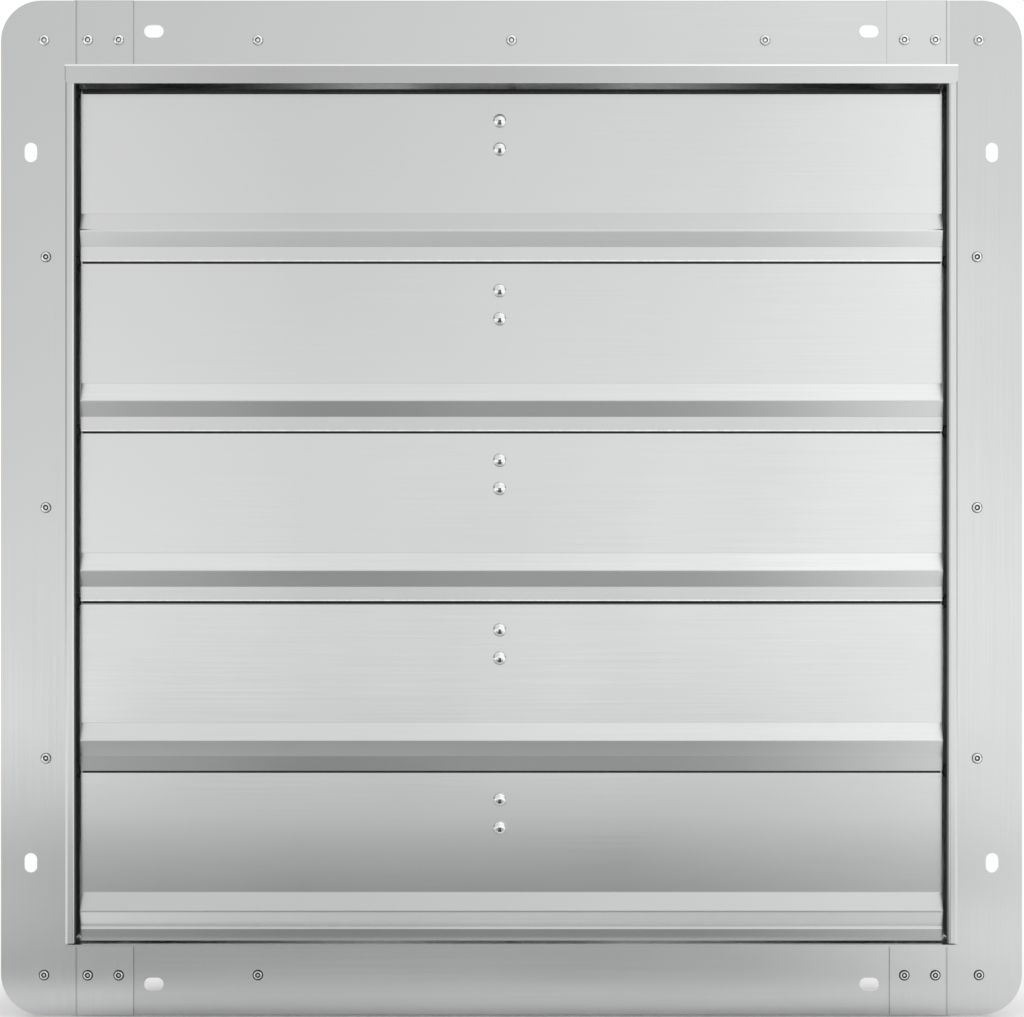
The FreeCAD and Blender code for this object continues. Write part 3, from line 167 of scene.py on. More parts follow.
def sheetFinish(name, rollAlong, seams=(), zones=(), leans=(), paintedHighlights=(), mattShade=()):
    finish, tree, shader = startFinish(name)
    stretch = [millSheet["grainWidth"]] * 3
    stretch["xyz".index(rollAlong)] = millSheet["grainLength"]
    grain = noiseField(tree, stretch, 1.0, 3.0, 0.6)
    patches = noiseField(tree, (1, 1, 1), millSheet["patchScale"], 3.0)
    nicks = noiseField(tree, (1, 1, 1), millSheet["nickScale"], 4.0, 0.7)
    grainTone, grainSheen = millSheet["grainTone"], millSheet["grainSheen"]
    wearAndGlint = combine(tree, "ADD", remap(tree, grain, 0.35, 0.65, -grainTone, grainTone),
                   remap(tree, patches, 0.3, 0.7, *millSheet["patchTone"]))
    colour = blendColour(tree, wearAndGlint, millSheet["pale"], millSheet["dullAndShade"])
    # painted shade: seam lines and zones blended towards near-black
    shade = darkLines(tree, seams, zones)
    if shade is not None:
        colour = blendColour(tree, shade, colour, millSheet["shadow"])
    # painted highlights, blended towards near-white
    for zone in paintedHighlights:
        colour = blendColour(tree, zoneMask(tree, splitAxes(tree), zone), colour, millSheet["highlightColour"])
    tree.links.new(colour, shader.inputs["Base Color"])
    shader.inputs["Metallic"].default_value = 1.0
    sheen = combine(tree, "ADD", remap(tree, patches, 0.3, 0.7, millSheet["smooth"], millSheet["rough"]),
                    remap(tree, grain, 0.3, 0.7, -grainSheen, grainSheen))
    # painted shade made matt: no metal and full roughness where these zones lie
    if mattShade:
        mattShadeMask = combine(tree, "GREATER_THAN", darkLines(tree, (), mattShade), 0.0)
        sheen = combine(tree, "MAXIMUM", sheen, mattShadeMask)
        tree.links.new(combine(tree, "SUBTRACT", 1.0, mattShadeMask), shader.inputs["Metallic"])
    tree.links.new(sheen, shader.inputs["Roughness"])
    bow = noiseField(tree, (1, 1, 1), millSheet["bowScale"], 1.0)
    bowed = addBump(tree, shader, bow, millSheet["bowBump"], millSheet["bowDepth"])
    for lean in leans:
        rise = remap(tree, splitAxes(tree)["Z"], lean["low"], lean["high"],
                     0.0, (lean["high"] - lean["low"]) * lean["slope"])
        bowed = addBump(tree, shader, rise, 1.0, 1.0, bowed)
    dents = remap(tree, nicks, millSheet["nickFrom"], millSheet["nickTo"], 0.0, 1.0)
    fine = combine(tree, "ADD", grain, dents)
    addBump(tree, shader, fine, millSheet["grainBump"], millSheet["grainDepth"], bowed)
    return finish


def darkLines(tree, seams, zones):
    if not seams and not zones:
        return None
    shade = 0.0
    axes = splitAxes(tree)
    for seam in seams:
        away = combine(tree, "ABSOLUTE", combine(tree, "SUBTRACT", axes["X"], seam["x"]), 0.0)
        line = remap(tree, away, seam["half"] * seamLines["core"], seam["half"], seam["depth"], 0.0)
        beyond = combine(tree, "MULTIPLY", axes["Z"], seam["end"])
        line = combine(tree, "MULTIPLY", line, combine(tree, "GREATER_THAN", beyond, seam["from"]))
        shade = combine(tree, "ADD", line, shade)
    for zone in zones:
        shade = combine(tree, "ADD", zoneMask(tree, axes, zone), shade)
    return shade


def zoneMask(tree, axes, zone):
    inside = zone["depth"]
    for axis in "XYZ":
        low, high = zone[axis]
        inside = combine(tree, "MULTIPLY", combine(tree, "GREATER_THAN", axes[axis], low), inside)
        inside = combine(tree, "MULTIPLY", combine(tree, "LESS_THAN", axes[axis], high), inside)
    if "fade" in zone:
        axis, full, gone = zone["fade"]
        inside = combine(tree, "MULTIPLY", remap(tree, axes[axis], full, gone, 1.0, 0.0), inside)
    # noise breaks a painted highlight into flecks
    if "flecked" in zone:
        wearAndGlint = zone["flecked"]
        flecks = noiseField(tree, (1, 1, 1), wearAndGlint["fleckScale"], 3.0, 0.6)
        flecks = remap(tree, flecks, wearAndGlint["fleckFrom"], wearAndGlint["fleckTo"], wearAndGlint["fleckLeast"], 1.0)
        inside = combine(tree, "MULTIPLY", flecks, inside)
    return inside


# painted shade along the lap seams, where one strip steps over another
seamLines = {
    "joggle": 0.2556,        # where a strip steps up over the jamb
    "tabEdge": 0.2220,
    "from": 0.2565,          # the seams run outside the louvre frame only
    "joggleHalf": 0.0008,
    "edgeHalf": 0.0005,
    "core": 0.4,             # share of a line that is fully dark
    "depth": 0.29,
}


def seamsOf(side):
    rows = []
    for end in (-1.0, 1.0):
        for spot, half in (("joggle", "joggleHalf"), ("tabEdge", "edgeHalf")):
            if side > 0 and end > 0 and spot == "tabEdge":
                continue     # that corner has its strip lapped over the jamb
            rows.append({"x": side * seamLines[spot], "half": seamLines[half], "end": end,
                         "from": seamLines["from"], "depth": seamLines["depth"]})
    return rows


# zones of the frame: painted shade on the lip, fading out to its right end, with a painted dark line at its
# left end; painted highlights on its top edge, its foot and its left end
topLip = {"X": (-0.3, 0.3), "Y": (-0.05, -0.0405), "Z": (0.2414, 0.2528), "depth": 0.22,
          "fade": ("X", 0.0, 0.25)}
lipLeft = {"X": (-0.3, 0.0), "Y": (-0.05, -0.0405), "Z": (0.2414, 0.2528), "depth": 0.30,
           "fade": ("X", -0.25, -0.14)}
lipEdge = {"X": (-0.3, 0.3), "Y": (-0.05, -0.0425), "Z": (0.2528, 0.2600), "depth": 1.0}
lipFoot = {"X": (-0.3, 0.3), "Y": (-0.05, -0.0405), "Z": (0.2380, 0.2414), "depth": 0.8}
lipEnd = {"X": (-0.2575, -0.2563), "Y": (-0.05, -0.0405), "Z": (0.2380, 0.2528), "depth": 0.45}
# painted shade on the inner faces of the jambs, matt and near-black, the right one less dark
leftReveal = {"X": (-0.2564, -0.2500), "Y": (-0.0445, 0.0), "Z": (-0.2540, 0.2540), "depth": 0.95}
rightReveal = {"X": (0.2500, 0.2564), "Y": (-0.0445, 0.0), "Z": (-0.2540, 0.2540), "depth": 0.74}
# painted shade, at the left of the sill and the top of the right flange
sillLeft = {"X": (-0.3100, 0.0), "Y": (-0.05, 0.05), "Z": (-0.3000, -0.2500), "depth": 0.07,
            "fade": ("X", -0.25, -0.02)}
rightFlange = {"X": (0.2575, 0.3100), "Y": (-0.05, 0.05), "Z": (-0.05, 0.3000), "depth": 0.12,
               "fade": ("Z", 0.20, -0.02)}
# no two louvres are pressed quite alike: how far each bend leans, and how much painted shade it gets
louvreBends = {
    1: [{"low": 0.1505, "high": 0.1605, "slope": -0.21, "dullAndShade": 0.0},
        {"low": 0.1605, "high": 0.1700, "slope": 0.0, "dullAndShade": 0.10}],
    2: [{"low": 0.0436, "high": 0.0520, "slope": 0.0, "dullAndShade": 0.10}],
    3: [{"low": -0.0549, "high": -0.0465, "slope": 0.0, "dullAndShade": 0.12}],
    4: [{"low": -0.1534, "high": -0.1450, "slope": 0.16, "dullAndShade": 0.10}],
    5: [{"low": -0.2519, "high": -0.2452, "slope": 0.04, "dullAndShade": 0.30},
        {"low": -0.2452, "high": -0.2435, "slope": -0.06, "dullAndShade": 0.14},
        {"low": -0.2435, "high": -0.2344, "slope": -0.09, "dullAndShade": 0.0},
        {"low": -0.2344, "high": -0.2240, "slope": 0.0, "dullAndShade": 0.12},
        {"low": -0.2353, "high": -0.2344, "slope": 0.0, "dullAndShade": 0.35}],
}
louvreSpan = {"X": (-0.3, 0.3), "Y": (-0.05, 0.01)}
louvreEnds = {               # painted highlight towards the ends
    "left": {"fade": ("X", -0.245, -0.12), "depths": {1: 0.34, 2: 0.32, 3: 0.28, 4: 0.20, 5: 0.14}},
    "right": {"fade": ("X", 0.245, 0.13), "depths": {1: 0.26, 2: 0.22, 3: 0.20, 4: 0.18, 5: 0.04}},
}
# painted shade on the lowest louvre, towards its bend
lowPanel = {**louvreSpan, "Z": (-0.2240, -0.1700), "depth": 0.25, "fade": ("Z", -0.224, -0.180)}
# painted highlight along the lower edges of the lips, broken up by noise
lipEdges = {1: 0.1421, 2: 0.0436, 3: -0.0549}
lipHighlight = {"below": 0.001, "above": 0.0007, "depth": 0.85,
           "fleckScale": 330.0, "fleckFrom": 0.40, "fleckTo": 0.58, "fleckLeast": 0.62}
# painted shade under a lip: lowest, highest, how dark
underLipShade = {1: (0.2405, 0.2465, 0.45), 3: (0.0422, 0.0437, 0.70), 4: (-0.0570, -0.0548, 0.85)}
louvreCount = 5
bladeCount = 4
crankNames = [f"crank_bracket_{n + 1}" for n in range(louvreCount)]
sheetAcross = sheetFinish("sheetRolledAcross", "x")
sheetUpright = sheetFinish("sheetRolledUpright", "z")
sheetDeep = sheetFinish("sheetRolledBack", "y")
allSeams = seamsOf(-1.0) + seamsOf(1.0)
dress(["top_rail"], sheetFinish("sheetTopRail", "x", allSeams, [topLip, lipEnd],
                                paintedHighlights=[lipEdge, lipFoot, lipLeft]))
dress(["bottom_sill"], sheetFinish("sheetSill", "x", allSeams, [sillLeft]))
dress(["left_jamb", "right_jamb"],
      sheetFinish("sheetJamb", "z", allSeams, [leftReveal, rightReveal, rightFlange],
                  mattShade=[leftReveal, rightReveal]))
dress(["housing_top", "housing_bottom", "venturi_panel"], sheetAcross)
dress(["housing_left", "housing_right", "tie_bar", *crankNames], sheetUpright)
dress([f"fan_blade_{n + 1}" for n in range(bladeCount)], sheetDeep)
# per louvre: painted shade on its bends and under the lip above, painted highlights at its ends and along
# its lip
for n, bends in louvreBends.items():
    shadeZones = [{**louvreSpan, "Z": (bend["low"], bend["high"]), "depth": bend["dullAndShade"]}
                 for bend in bends if bend["dullAndShade"]]
    if n in underLipShade:
        low, high, depth = underLipShade[n]
        shadeZones.append({**louvreSpan, "Z": (low, high), "depth": depth})
    if n == louvreCount:
        shadeZones.append(lowPanel)
    highlightZones = [{**louvreSpan, "Z": (-0.3, 0.3), "depth": end["depths"][n], "fade": end["fade"]}
                   for end in louvreEnds.values()]
    if n in lipEdges:
        worn = (lipEdges[n] - lipHighlight["below"], lipEdges[n] + lipHighlight["above"])
        highlightZones.append({**louvreSpan, "Z": worn, "depth": lipHighlight["depth"], "flecked": lipHighlight})
    leans = [bend for bend in bends if bend["slope"]]
    dress([f"louvre_blade_{n}"],
          sheetFinish(f"sheetLouvre_{n}", "x", zones=shadeZones, leans=leans, paintedHighlights=highlightZones))
print("sheet metal dressed")


# plain metals: rivets, plated steel, wire, cast hub and steel cores

skinDepth = 0.0003


def metalFinish(name, look):
    finish, tree, shader = startFinish(name)
    marks = noiseField(tree, (1, 1, 1), look["scale"], 3.0)
    shader.inputs["Metallic"].default_value = 1.0
    tree.links.new(blendColour(tree, remap(tree, marks, 0.3, 0.7, 0.0, 1.0), look["pale"], look["dullAndShade"]),
                   shader.inputs["Base Color"])
    tree.links.new(remap(tree, marks, 0.3, 0.7, look["smooth"], look["rough"]), shader.inputs["Roughness"])
    addBump(tree, shader, marks, look["bump"], skinDepth)
    return finish


rivetLook = {"pale": (0.92, 0.92, 0.93), "dullAndShade": (0.82, 0.83, 0.84), "smooth": 0.05, "rough": 0.12,
             "scale": 420.0, "bump": 0.03}
zincLook = {"pale": (0.62, 0.64, 0.66), "dullAndShade": (0.50, 0.51, 0.52), "smooth": 0.22, "rough": 0.42,
            "scale": 160.0, "bump": 0.06}
wireLook = {"pale": (0.68, 0.69, 0.70), "dullAndShade": (0.56, 0.57, 0.58), "smooth": 0.12, "rough": 0.28,
            "scale": 220.0, "bump": 0.04}
castLook = {"pale": (0.50, 0.51, 0.52), "dullAndShade": (0.40, 0.41, 0.42), "smooth": 0.40, "rough": 0.60,
            "scale": 600.0, "bump": 0.25}
coreLook = {"pale": (0.26, 0.26, 0.27), "dullAndShade": (0.18, 0.18, 0.19), "smooth": 0.40, "rough": 0.60,
            "scale": 300.0, "bump": 0.10}
copperLook = {"pale": (0.70, 0.33, 0.17), "dullAndShade": (0.52, 0.22, 0.10), "smooth": 0.25, "rough": 0.40,
              "scale": 500.0, "bump": 0.30}
rivetBright = metalFinish("rivetBright", rivetLook)
zincPlate = metalFinish("zincPlate", zincLook)
wirePlate = metalFinish("wirePlate", wireLook)
dress(["rotor_rivets", *[f"louvre_rivets_{n + 1}" for n in range(louvreCount)]], rivetBright)
dress(["panel_screws", "guard_screws", "motor_bolts", "lid_screws", "hub_set_screw", "motor_shaft",
       "front_bearing", "rear_bearing", "fan_spider", "motor_plate"], zincPlate)
dress(["motor_guard"], wirePlate)
dress(["fan_hub"], metalFinish("castHub", castLook))
dress(["stator_core", "rotor_core"], metalFinish("coreSteel", coreLook))
dress(["stator_windings"], metalFinish("enamelledCopper", copperLook))
print("metals dressed")


# blind rivets of the flange, with the stub of the pulling pin left in each

blindRivet = {
    "headRadius": 0.003175,
    "headRise": 0.0013,
    "shankRadius": 0.0016,
    "headShape": ((1.0, 0.0), (1.0, 0.16), (0.95, 0.42), (0.86, 0.68), (0.74, 0.88), (0.64, 0.97),
                  (0.57, 1.0)),
    "eyeRadius": 0.00155,
    "eyeShape": ((1.06, 0.95), (1.0, 0.80)),
    "eyeTaper": 0.96,
    "eyeFloor": 0.0002,      # bottom of the eye, above the seat
    "pinRadius": 0.00095,
    "pinTop": 0.0008,
    "pinShape": ((1.0, 0.9), (0.7, 1.0), (0.0, 0.82)),
    "pinFoot": 1.05,
    "segments": 28,
    "shadedRows": (           # above this height, these rows of faces are in painted shade: the lower, the more rows
        (0.2, (3, 4, 11, 12)),
        (-0.2, (3, 4, 5, 10, 11, 12, 13, 14)),
        (-0.4, (3, 4, 5, 6, 10, 11, 12, 13, 14)),
    ),
}
# near-black finish for the rivets' painted shade
rivetShadeLook = {"pale": (0.16, 0.16, 0.16), "dullAndShade": (0.07, 0.07, 0.07), "smooth": 0.35, "rough": 0.55,
             "scale": 900.0, "bump": 0.20}
rivetPaintedShade = metalFinish("rivetPaintedShade", rivetShadeLook)


def islandBoxes(nodeName):
    mesh = cadNodes[nodeName].data
    work = bmesh.new()
    work.from_mesh(mesh)
    bmesh.ops.remove_doubles(work, verts=work.verts, dist=1e-6)
    left = set(work.verts)
    boxes = []
    while left:
        queue = [left.pop()]
        found = list(queue)
        while queue:
            for edge in queue.pop().link_edges:
                for vert in edge.verts:
                    if vert in left:
                        left.remove(vert)
                        queue.append(vert)
                        found.append(vert)
        low = [min(v.co[i] for v in found) for i in range(3)]
        high = [max(v.co[i] for v in found) for i in range(3)]
        boxes.append((Vector(low), Vector(high)))
    work.free()
    return sorted(boxes, key=lambda b: (round(b[0].x, 4), round(b[0].z, 4)))


def latheForward(work, profile, x, y, z, segments, shadedRows=()):
    # the profile is radius and height towards the viewer, from the axis back to the axis
    rings = []
    turns = [2.0 * math.pi / segments * i for i in range(segments)]
    for radius, height in profile:
        if radius == 0.0:
            rings.append([work.verts.new((x, y - height, z))])
            continue
        rings.append([work.verts.new((x + radius * math.cos(turn), y - height, z + radius * math.sin(turn)))
                      for turn in turns])
    for row, (first, second) in enumerate(zip(rings, rings[1:])):
        for i in range(segments):
            corners = [first[i % len(first)], first[(i + 1) % len(first)],
                       second[(i + 1) % len(second)], second[i % len(second)]]
            face = work.faces.new(list(dict.fromkeys(corners)))
            # rows in painted shade take the second finish
            face.material_index = 1 if row in shadedRows else 0


creaseAngle = 38.0           # sharper edges than this stay sharp


def addPiece(name, work, finishes, body):
    bmesh.ops.recalc_face_normals(work, faces=work.faces)
    mesh = bpy.data.meshes.new(name)
    work.to_mesh(mesh)
    work.free()
    for finish in finishes:
        mesh.materials.append(finish)
    piece = bpy.data.objects.new(name, mesh)
    scene.collection.objects.link(piece)
    mesh.shade_smooth()
    mesh.set_sharp_from_angle(angle=math.radians(creaseAngle))
    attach(piece, body)
    return piece


def makeBlindRivets():
    work = bmesh.new()
    r = blindRivet
    for low, high in islandBoxes("flange_rivets"):
        x, z = (low.x + high.x) / 2, (low.z + high.z) / 2
        seat = low.y + r["headRise"]
        back = seat - high.y
        profile = [(0.0, back), (r["shankRadius"], back), (r["shankRadius"], 0.0)]
        profile += [(r["headRadius"] * out, r["headRise"] * up) for out, up in r["headShape"]]
        profile += [(r["eyeRadius"] * out, r["headRise"] * up) for out, up in r["eyeShape"]]
        profile += [(r["eyeRadius"] * r["eyeTaper"], r["eyeFloor"]),
                    (r["pinRadius"] * r["pinFoot"], r["eyeFloor"])]
        profile += [(r["pinRadius"] * out, r["pinTop"] * up) for out, up in r["pinShape"]]
        shadedRows = next(rows for level, rows in r["shadedRows"] if z > level)
        latheForward(work, profile, x, seat, z, r["segments"], shadedRows)
    rivets = addPiece("flangeBlindRivets", work, [rivetBright, rivetPaintedShade], "frame")
    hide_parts("flange_rivets")


makeBlindRivets()
print("blind rivets set")


# polished heads of the two large rivets on each louvre

domeHead = {
    "radius": 0.0040,
    "rise": 0.0024,
    "solidRise": 0.0023,     # of the plain head that this one covers
    "shape": ((1.0, 0.0), (1.0, 0.10), (0.975, 0.30), (0.925, 0.50), (0.85, 0.68), (0.74, 0.83),
              (0.60, 0.93), (0.42, 0.985), (0.22, 0.998), (0.0, 1.0)),
    "segments": 36,
    "shadedRows": (0, 1),     # seat and foot of the head, in painted shade
    "least": 0.006,          # the crank pin in the same group is narrower than this
    "markHalf": 0.0009,      # painted reflection, a dark mark below the middle of the head
    "markSpan": (-0.0024, 0.0002),
    "markFrom": 0.3,         # share of the rise
}


def makeDomeHeads():
    d = domeHead
    for n in range(louvreCount):
        work = bmesh.new()
        for low, high in islandBoxes(f"louvre_rivets_{n + 1}"):
            if min(high.x - low.x, high.z - low.z) < d["least"]:
                continue
            top = low.y - (d["rise"] - d["solidRise"])
            seat = top + d["rise"]
            profile = [(0.0, 0.0)] + [(out * d["radius"], up * d["rise"]) for out, up in d["shape"]]
            x, z = (low.x + high.x) / 2, (low.z + high.z) / 2
            latheForward(work, profile, x, seat, z, d["segments"], d["shadedRows"])
            # painted reflection: faces below the middle of each head take the dark finish
            for face in work.faces:
                spot = face.calc_center_median() - Vector((x, seat, z))
                marked = abs(spot.x) < d["markHalf"] and d["markSpan"][0] < spot.z < d["markSpan"][1]
                if marked and spot.y < -d["markFrom"] * d["rise"]:
                    face.material_index = 1
        finishes = [rivetBright, rivetPaintedShade]
        addPiece(f"louvreDomeHeads_{n + 1}", work, finishes, f"louvre_{n + 1}")


makeDomeHeads()
print("dome heads set")


# spot welds where the guard's rings cross its spokes

guardWelds = {
    "spokes": 8,
    "faceRadii": (0.080, 0.104, 0.128, 0.152, 0.176, 0.200, 0.224),
    "faceDepth": 0.1917,     # between the ring wires and the spokes behind them
    "sideRadius": 0.2362,
    "sideDepth": 0.1722,
    "along": 0.0030,
    "across": 0.8,           # share of its length
    "thick": 0.0013,
    "uneven": 0.12,
    "seeds": {"spoke": 1.7, "ring": 2.3, "side": 1.3},
    "rings": 6,
    "segments": 12,
}


def weldBlob(work, centre, outward, along, across, thick, seed):
    # a squashed drop, a little uneven round its edge
    w = guardWelds
    side = Vector((0.0, 1.0, 0.0)).cross(outward)
    deep = outward.cross(side)
    rows = []
    for i in range(w["rings"] + 1):
        tilt = math.pi * i / w["rings"]
        row = []
        for k in range(w["segments"]):
            turn = 2.0 * math.pi * k / w["segments"]
            uneven = 1.0 + w["uneven"] * math.sin(3.0 * turn + seed) * math.sin(tilt)
            spot = (outward * (across * math.sin(tilt) * math.cos(turn) * uneven)
                    + side * (along * math.sin(tilt) * math.sin(turn) * uneven)
                    + deep * (thick * math.cos(tilt)))
            row.append(work.verts.new(centre + spot))
        rows.append(row)
    for first, second in zip(rows, rows[1:]):
        for k in range(w["segments"]):
            after = (k + 1) % w["segments"]
            work.faces.new((first[k], first[after], second[after], second[k]))


def makeGuardWelds():
    work = bmesh.new()
    w = guardWelds
    for n in range(w["spokes"]):
        turn = 2.0 * math.pi * n / w["spokes"]
        outward = Vector((math.sin(turn), 0.0, math.cos(turn)))
        for i, radius in enumerate(w["faceRadii"]):
            centre = outward * radius + Vector((0.0, w["faceDepth"], 0.0))
            seed = n * w["seeds"]["spoke"] + i * w["seeds"]["ring"]
            weldBlob(work, centre, outward, w["along"], w["along"] * w["across"], w["thick"], seed)
        centre = outward * w["sideRadius"] + Vector((0.0, w["sideDepth"], 0.0))
        seed = n * w["seeds"]["side"]
        weldBlob(work, centre, outward, w["along"], w["thick"], w["along"] * w["across"], seed)
    bmesh.ops.remove_doubles(work, verts=work.verts, dist=1e-7)
    addPiece("guardSpotWelds", work, [weldScale], "frame")


weldLook = {"pale": (0.46, 0.45, 0.44), "dullAndShade": (0.26, 0.25, 0.25), "smooth": 0.25, "rough": 0.50,
            "scale": 700.0, "bump": 0.30}
weldScale = metalFinish("weldScale", weldLook)
makeGuardWelds()
print("guard welds placed")


# coated and moulded pieces

dustScale = 35.0


def coatedFinish(name, look):
    finish, tree, shader = startFinish(name)
    skin = noiseField(tree, (1, 1, 1), look["scale"], 2.0)
    dust = noiseField(tree, (1, 1, 1), dustScale, 4.0, 0.6)
    tree.links.new(blendColour(tree, remap(tree, dust, 0.35, 0.75, 0.0, 1.0), look["deep"], look["dusty"]),
                   shader.inputs["Base Color"])
    tree.links.new(remap(tree, dust, 0.3, 0.7, look["smooth"], look["rough"]), shader.inputs["Roughness"])
    addBump(tree, shader, skin, look["bump"], skinDepth)
    return finish


rodLook = {"deep": (0.020, 0.020, 0.022), "dusty": (0.035, 0.035, 0.037), "smooth": 0.18, "rough": 0.28,
           "scale": 700.0, "bump": 0.06}
nylonLook = {"deep": (0.012, 0.012, 0.013), "dusty": (0.022, 0.022, 0.023), "smooth": 0.40, "rough": 0.55,
             "scale": 900.0, "bump": 0.10}
paintLook = {"deep": (0.045, 0.047, 0.050), "dusty": (0.060, 0.061, 0.063), "smooth": 0.30, "rough": 0.45,
             "scale": 650.0, "bump": 0.15}
caseLook = {"deep": (0.55, 0.55, 0.52), "dusty": (0.48, 0.48, 0.45), "smooth": 0.40, "rough": 0.55,
            "scale": 500.0, "bump": 0.08}
dress([f"pivot_rod_{n + 1}" for n in range(louvreCount)], coatedFinish("blackenedRod", rodLook))
dress(["pivot_bushings", "cable_gland"], coatedFinish("mouldedNylon", nylonLook))
dress(["motor_housing", "motor_front_cover", "motor_rear_cover", "terminal_box", "terminal_lid"],
      coatedFinish("motorPaint", paintLook))
dress(["run_capacitor"], coatedFinish("capacitorCase", caseLook))
print("coated pieces dressed")


# floor, light and camera

studio = {
    "floorColour": (0.92, 0.92, 0.92),
    "floorRough": 0.8,
    "floorShine": 0.1,
    "patchColour": (0.35, 0.355, 0.35),   # darker ground in front, seen only in the metal
    "patches": (
        {"across": (-0.68, -0.38, 0.10, 0.38), "ahead": (-0.40, -0.32, -0.22, -0.12), "share": 0.875},
        {"across": (-0.60, -0.24, 0.10, 0.38), "ahead": (-1.4, -1.0, -0.38, -0.28), "share": 0.875},
        {"across": (-0.36, -0.16, -0.10, 0.16), "ahead": (-1.2, -0.8, -0.36, -0.26), "share": 1.0},
        {"across": (-0.78, -0.45, 0.30, 0.58), "ahead": (-3.4, -1.8, -1.0, -0.70), "share": 0.875},
    ),
    "floorHalf": 40.0,
    "fadeFrom": 1.3,         # the floor turns into the white background
    "fadeTo": 3.2,
    "floorGap": 0.0006,
    "white": 1.0,
    "fill": 0.97,
    "sideTone": 0.42,        # how dark the studio is far to the left and right
    "sideFrom": 0.76,
    "sideTo": 0.95,
    "leftTone": 0.90,
    "middleTone": 0.99,
    "rightTone": 1.22,
    "leanReach": 0.15,
    "rightShare": 0.7,
    "edgeDrop": 0.07,        # a little less again where the flange looks
    "edgeShare": 0.75,
    "lowTone": 1.14,         # just above the horizon, and higher up
    "lowReach": 0.16,
    "highTone": 0.95,
    "zenithTone": 1.15,
    "zenithFrom": 0.88,
    "zenithTo": 0.95,
    "stripHeight": 0.76,     # a long soft strip high up in front
    "stripHalf": 0.06,
    "stripTone": 1.36,
    "besideTone": 0.93,
    "topPlace": (0.3, 0.2, 2.8),
    "topAim": (0.0, 0.0, 0.0),
    "topSize": 1.2,
    "topWatts": 16.0,
}


def bandOf(tree, coordinate, edges):
    rise = smoothRemap(tree, coordinate, edges[0], edges[1])
    fall = smoothRemap(tree, coordinate, edges[2], edges[3], 1.0, 0.0)
    return combine(tree, "MULTIPLY", rise, fall)


def makeFloor():
    mesh = bpy.data.meshes.new("studioFloor")
    half = studio["floorHalf"]
    level = cadLow.z - studio["floorGap"]
    corners = [(-half, -half, level), (half, -half, level), (half, half, level), (-half, half, level)]
    mesh.from_pydata(corners, [], [(0, 1, 2, 3)])
    floor = bpy.data.objects.new("studioFloor", mesh)
    scene.collection.objects.link(floor)
    finish, tree, shader = startFinish("paleFloor")
    place = addNode(tree, "ShaderNodeTexCoord")
    axes = splitAxes(tree)
    patch = 0.0
    for spread in studio["patches"]:
        band = combine(tree, "MULTIPLY", bandOf(tree, axes["X"], spread["across"]),
                       bandOf(tree, axes["Y"], spread["ahead"]))
        patch = combine(tree, "MAXIMUM", combine(tree, "MULTIPLY", band, spread["share"]), patch)
    path = addNode(tree, "ShaderNodeLightPath")
    patch = combine(tree, "MULTIPLY", patch, path.outputs["Is Glossy Ray"])
    ground = blendColour(tree, patch, studio["floorColour"], studio["patchColour"])
    tree.links.new(ground, shader.inputs["Base Color"])
    reach = addNode(tree, "ShaderNodeVectorMath")
    reach.operation = "LENGTH"
    tree.links.new(place.outputs["Object"], reach.inputs[0])
    fade = smoothRemap(tree, reach.outputs["Value"], studio["fadeFrom"], studio["fadeTo"])
    looking = combine(tree, "MAXIMUM", path.outputs["Is Camera Ray"], path.outputs["Is Glossy Ray"])
    looking = combine(tree, "MAXIMUM", looking, path.outputs["Is Transmission Ray"])
    bare = combine(tree, "SUBTRACT", 1.0, patch)
    white = addNode(tree, "ShaderNodeEmission", {"Color": (1.0, 1.0, 1.0, 1.0)})
    glow = combine(tree, "MULTIPLY", path.outputs["Is Glossy Ray"], studio["lowTone"] - 1.0)
    tree.links.new(combine(tree, "ADD", glow, studio["white"]), white.inputs["Strength"])
    mix = addNode(tree, "ShaderNodeMixShader")
    share = combine(tree, "MULTIPLY", combine(tree, "MULTIPLY", fade, looking), bare)
    tree.links.new(share, mix.inputs["Fac"])
    tree.links.new(shader.outputs["BSDF"], mix.inputs[1])
    tree.links.new(white.outputs["Emission"], mix.inputs[2])
    tree.links.new(mix.outputs["Shader"], tree.nodes["Material Output"].inputs["Surface"])
    shader.inputs["Roughness"].default_value = studio["floorRough"]
    shader.inputs["Specular IOR Level"].default_value = studio["floorShine"]
    mesh.materials.append(finish)


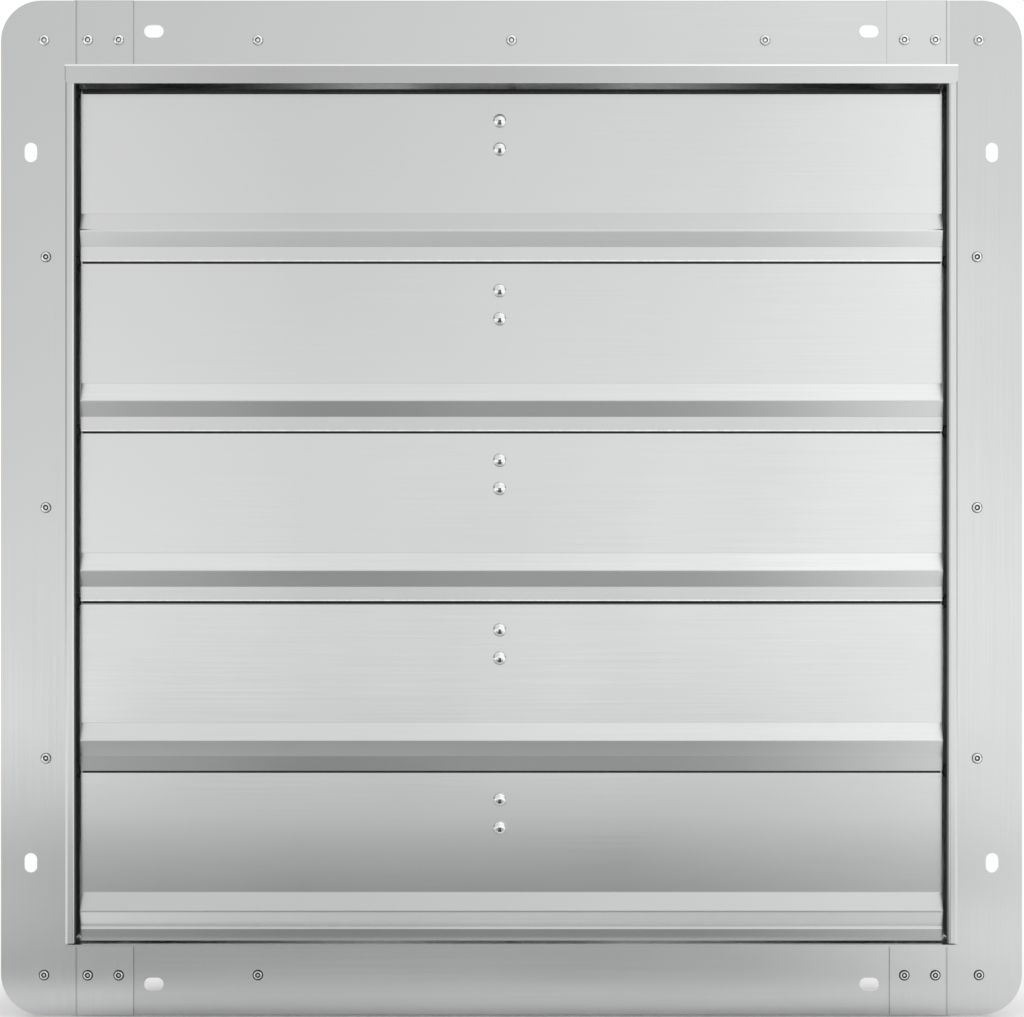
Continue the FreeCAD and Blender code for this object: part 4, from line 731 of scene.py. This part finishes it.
def makeWorld():
    world = bpy.data.worlds.new("studioWorld")
    scene.world = world
    world.use_nodes = True
    tree = world.node_tree
    seen = tree.nodes["Background"]
    seen.inputs["Color"].default_value = (1.0, 1.0, 1.0, 1.0)
    seen.inputs["Strength"].default_value = studio["white"]
    soft = addNode(tree, "ShaderNodeBackground", {"Color": (1.0, 1.0, 1.0, 1.0), "Strength": studio["fill"]})
    mirrored = addNode(tree, "ShaderNodeBackground", {"Color": (1.0, 1.0, 1.0, 1.0)})
    axes = splitAxes(tree, "Generated")
    across = axes["X"]
    aside = combine(tree, "ABSOLUTE", across, 0.0)
    sides = smoothRemap(tree, aside, studio["sideFrom"], studio["sideTo"], 1.0, studio["sideTone"])
    reach = studio["leanReach"]
    left = remap(tree, across, -reach, 0.0, studio["leftTone"], studio["middleTone"])
    rightRise = studio["rightTone"] - studio["middleTone"]
    right = remap(tree, across, 0.0, studio["rightShare"] * reach, 0.0, rightRise)
    outer = remap(tree, aside, studio["edgeShare"] * reach, reach, 0.0, studio["edgeDrop"])
    lean = combine(tree, "SUBTRACT", combine(tree, "ADD", left, right), outer)
    height = remap(tree, axes["Z"], 0.0, studio["lowReach"], studio["lowTone"], studio["highTone"])
    zenith = remap(tree, axes["Z"], studio["zenithFrom"], studio["zenithTo"], 1.0, studio["zenithTone"])
    off = combine(tree, "ABSOLUTE", combine(tree, "SUBTRACT", axes["Z"], studio["stripHeight"]), 0.0)
    strip = remap(tree, off, 0.0, studio["stripHalf"], studio["stripTone"], studio["besideTone"])
    tone = combine(tree, "MULTIPLY", combine(tree, "MULTIPLY", lean, height),
                   combine(tree, "MULTIPLY", zenith, strip))
    tree.links.new(combine(tree, "MULTIPLY", sides, tone), mirrored.inputs["Strength"])
    path = addNode(tree, "ShaderNodeLightPath")
    reflection = combine(tree, "MAXIMUM", path.outputs["Is Glossy Ray"], path.outputs["Is Transmission Ray"])
    lit = addNode(tree, "ShaderNodeMixShader")
    tree.links.new(reflection, lit.inputs["Fac"])
    tree.links.new(soft.outputs["Background"], lit.inputs[1])
    tree.links.new(mirrored.outputs["Background"], lit.inputs[2])
    mix = addNode(tree, "ShaderNodeMixShader")
    tree.links.new(path.outputs["Is Camera Ray"], mix.inputs["Fac"])
    tree.links.new(lit.outputs["Shader"], mix.inputs[1])
    tree.links.new(seen.outputs["Background"], mix.inputs[2])
    tree.links.new(mix.outputs["Shader"], tree.nodes["World Output"].inputs["Surface"])


def makeLamp(name, place, aim, size, watts):
    data = bpy.data.lights.new(name, "AREA")
    data.size = size
    data.energy = watts
    lamp = bpy.data.objects.new(name, data)
    lamp.visible_glossy = False
    lamp.location = place
    lamp.rotation_euler = (Vector(aim) - Vector(place)).to_track_quat("-Z", "Y").to_euler()
    scene.collection.objects.link(lamp)


view = {
    "place": (0.0003, -2.045, -0.0595),
    "sensor": 36.0,
    "lens": 122.19,
    "shiftUp": 0.0980,
}


def makeCamera():
    data = bpy.data.cameras.new("photoView")
    data.sensor_width = view["sensor"]
    data.lens = view["lens"]
    data.shift_y = view["shiftUp"]
    camera = bpy.data.objects.new("photoView", data)
    camera.location = view["place"]
    camera.rotation_euler = (math.radians(90.0), 0.0, 0.0)
    scene.collection.objects.link(camera)
    scene.camera = camera


makeFloor()
makeWorld()
makeLamp("topLamp", studio["topPlace"], studio["topAim"], studio["topSize"], studio["topWatts"])
makeCamera()
scene.view_settings.view_transform = "Standard"
print("studio ready")
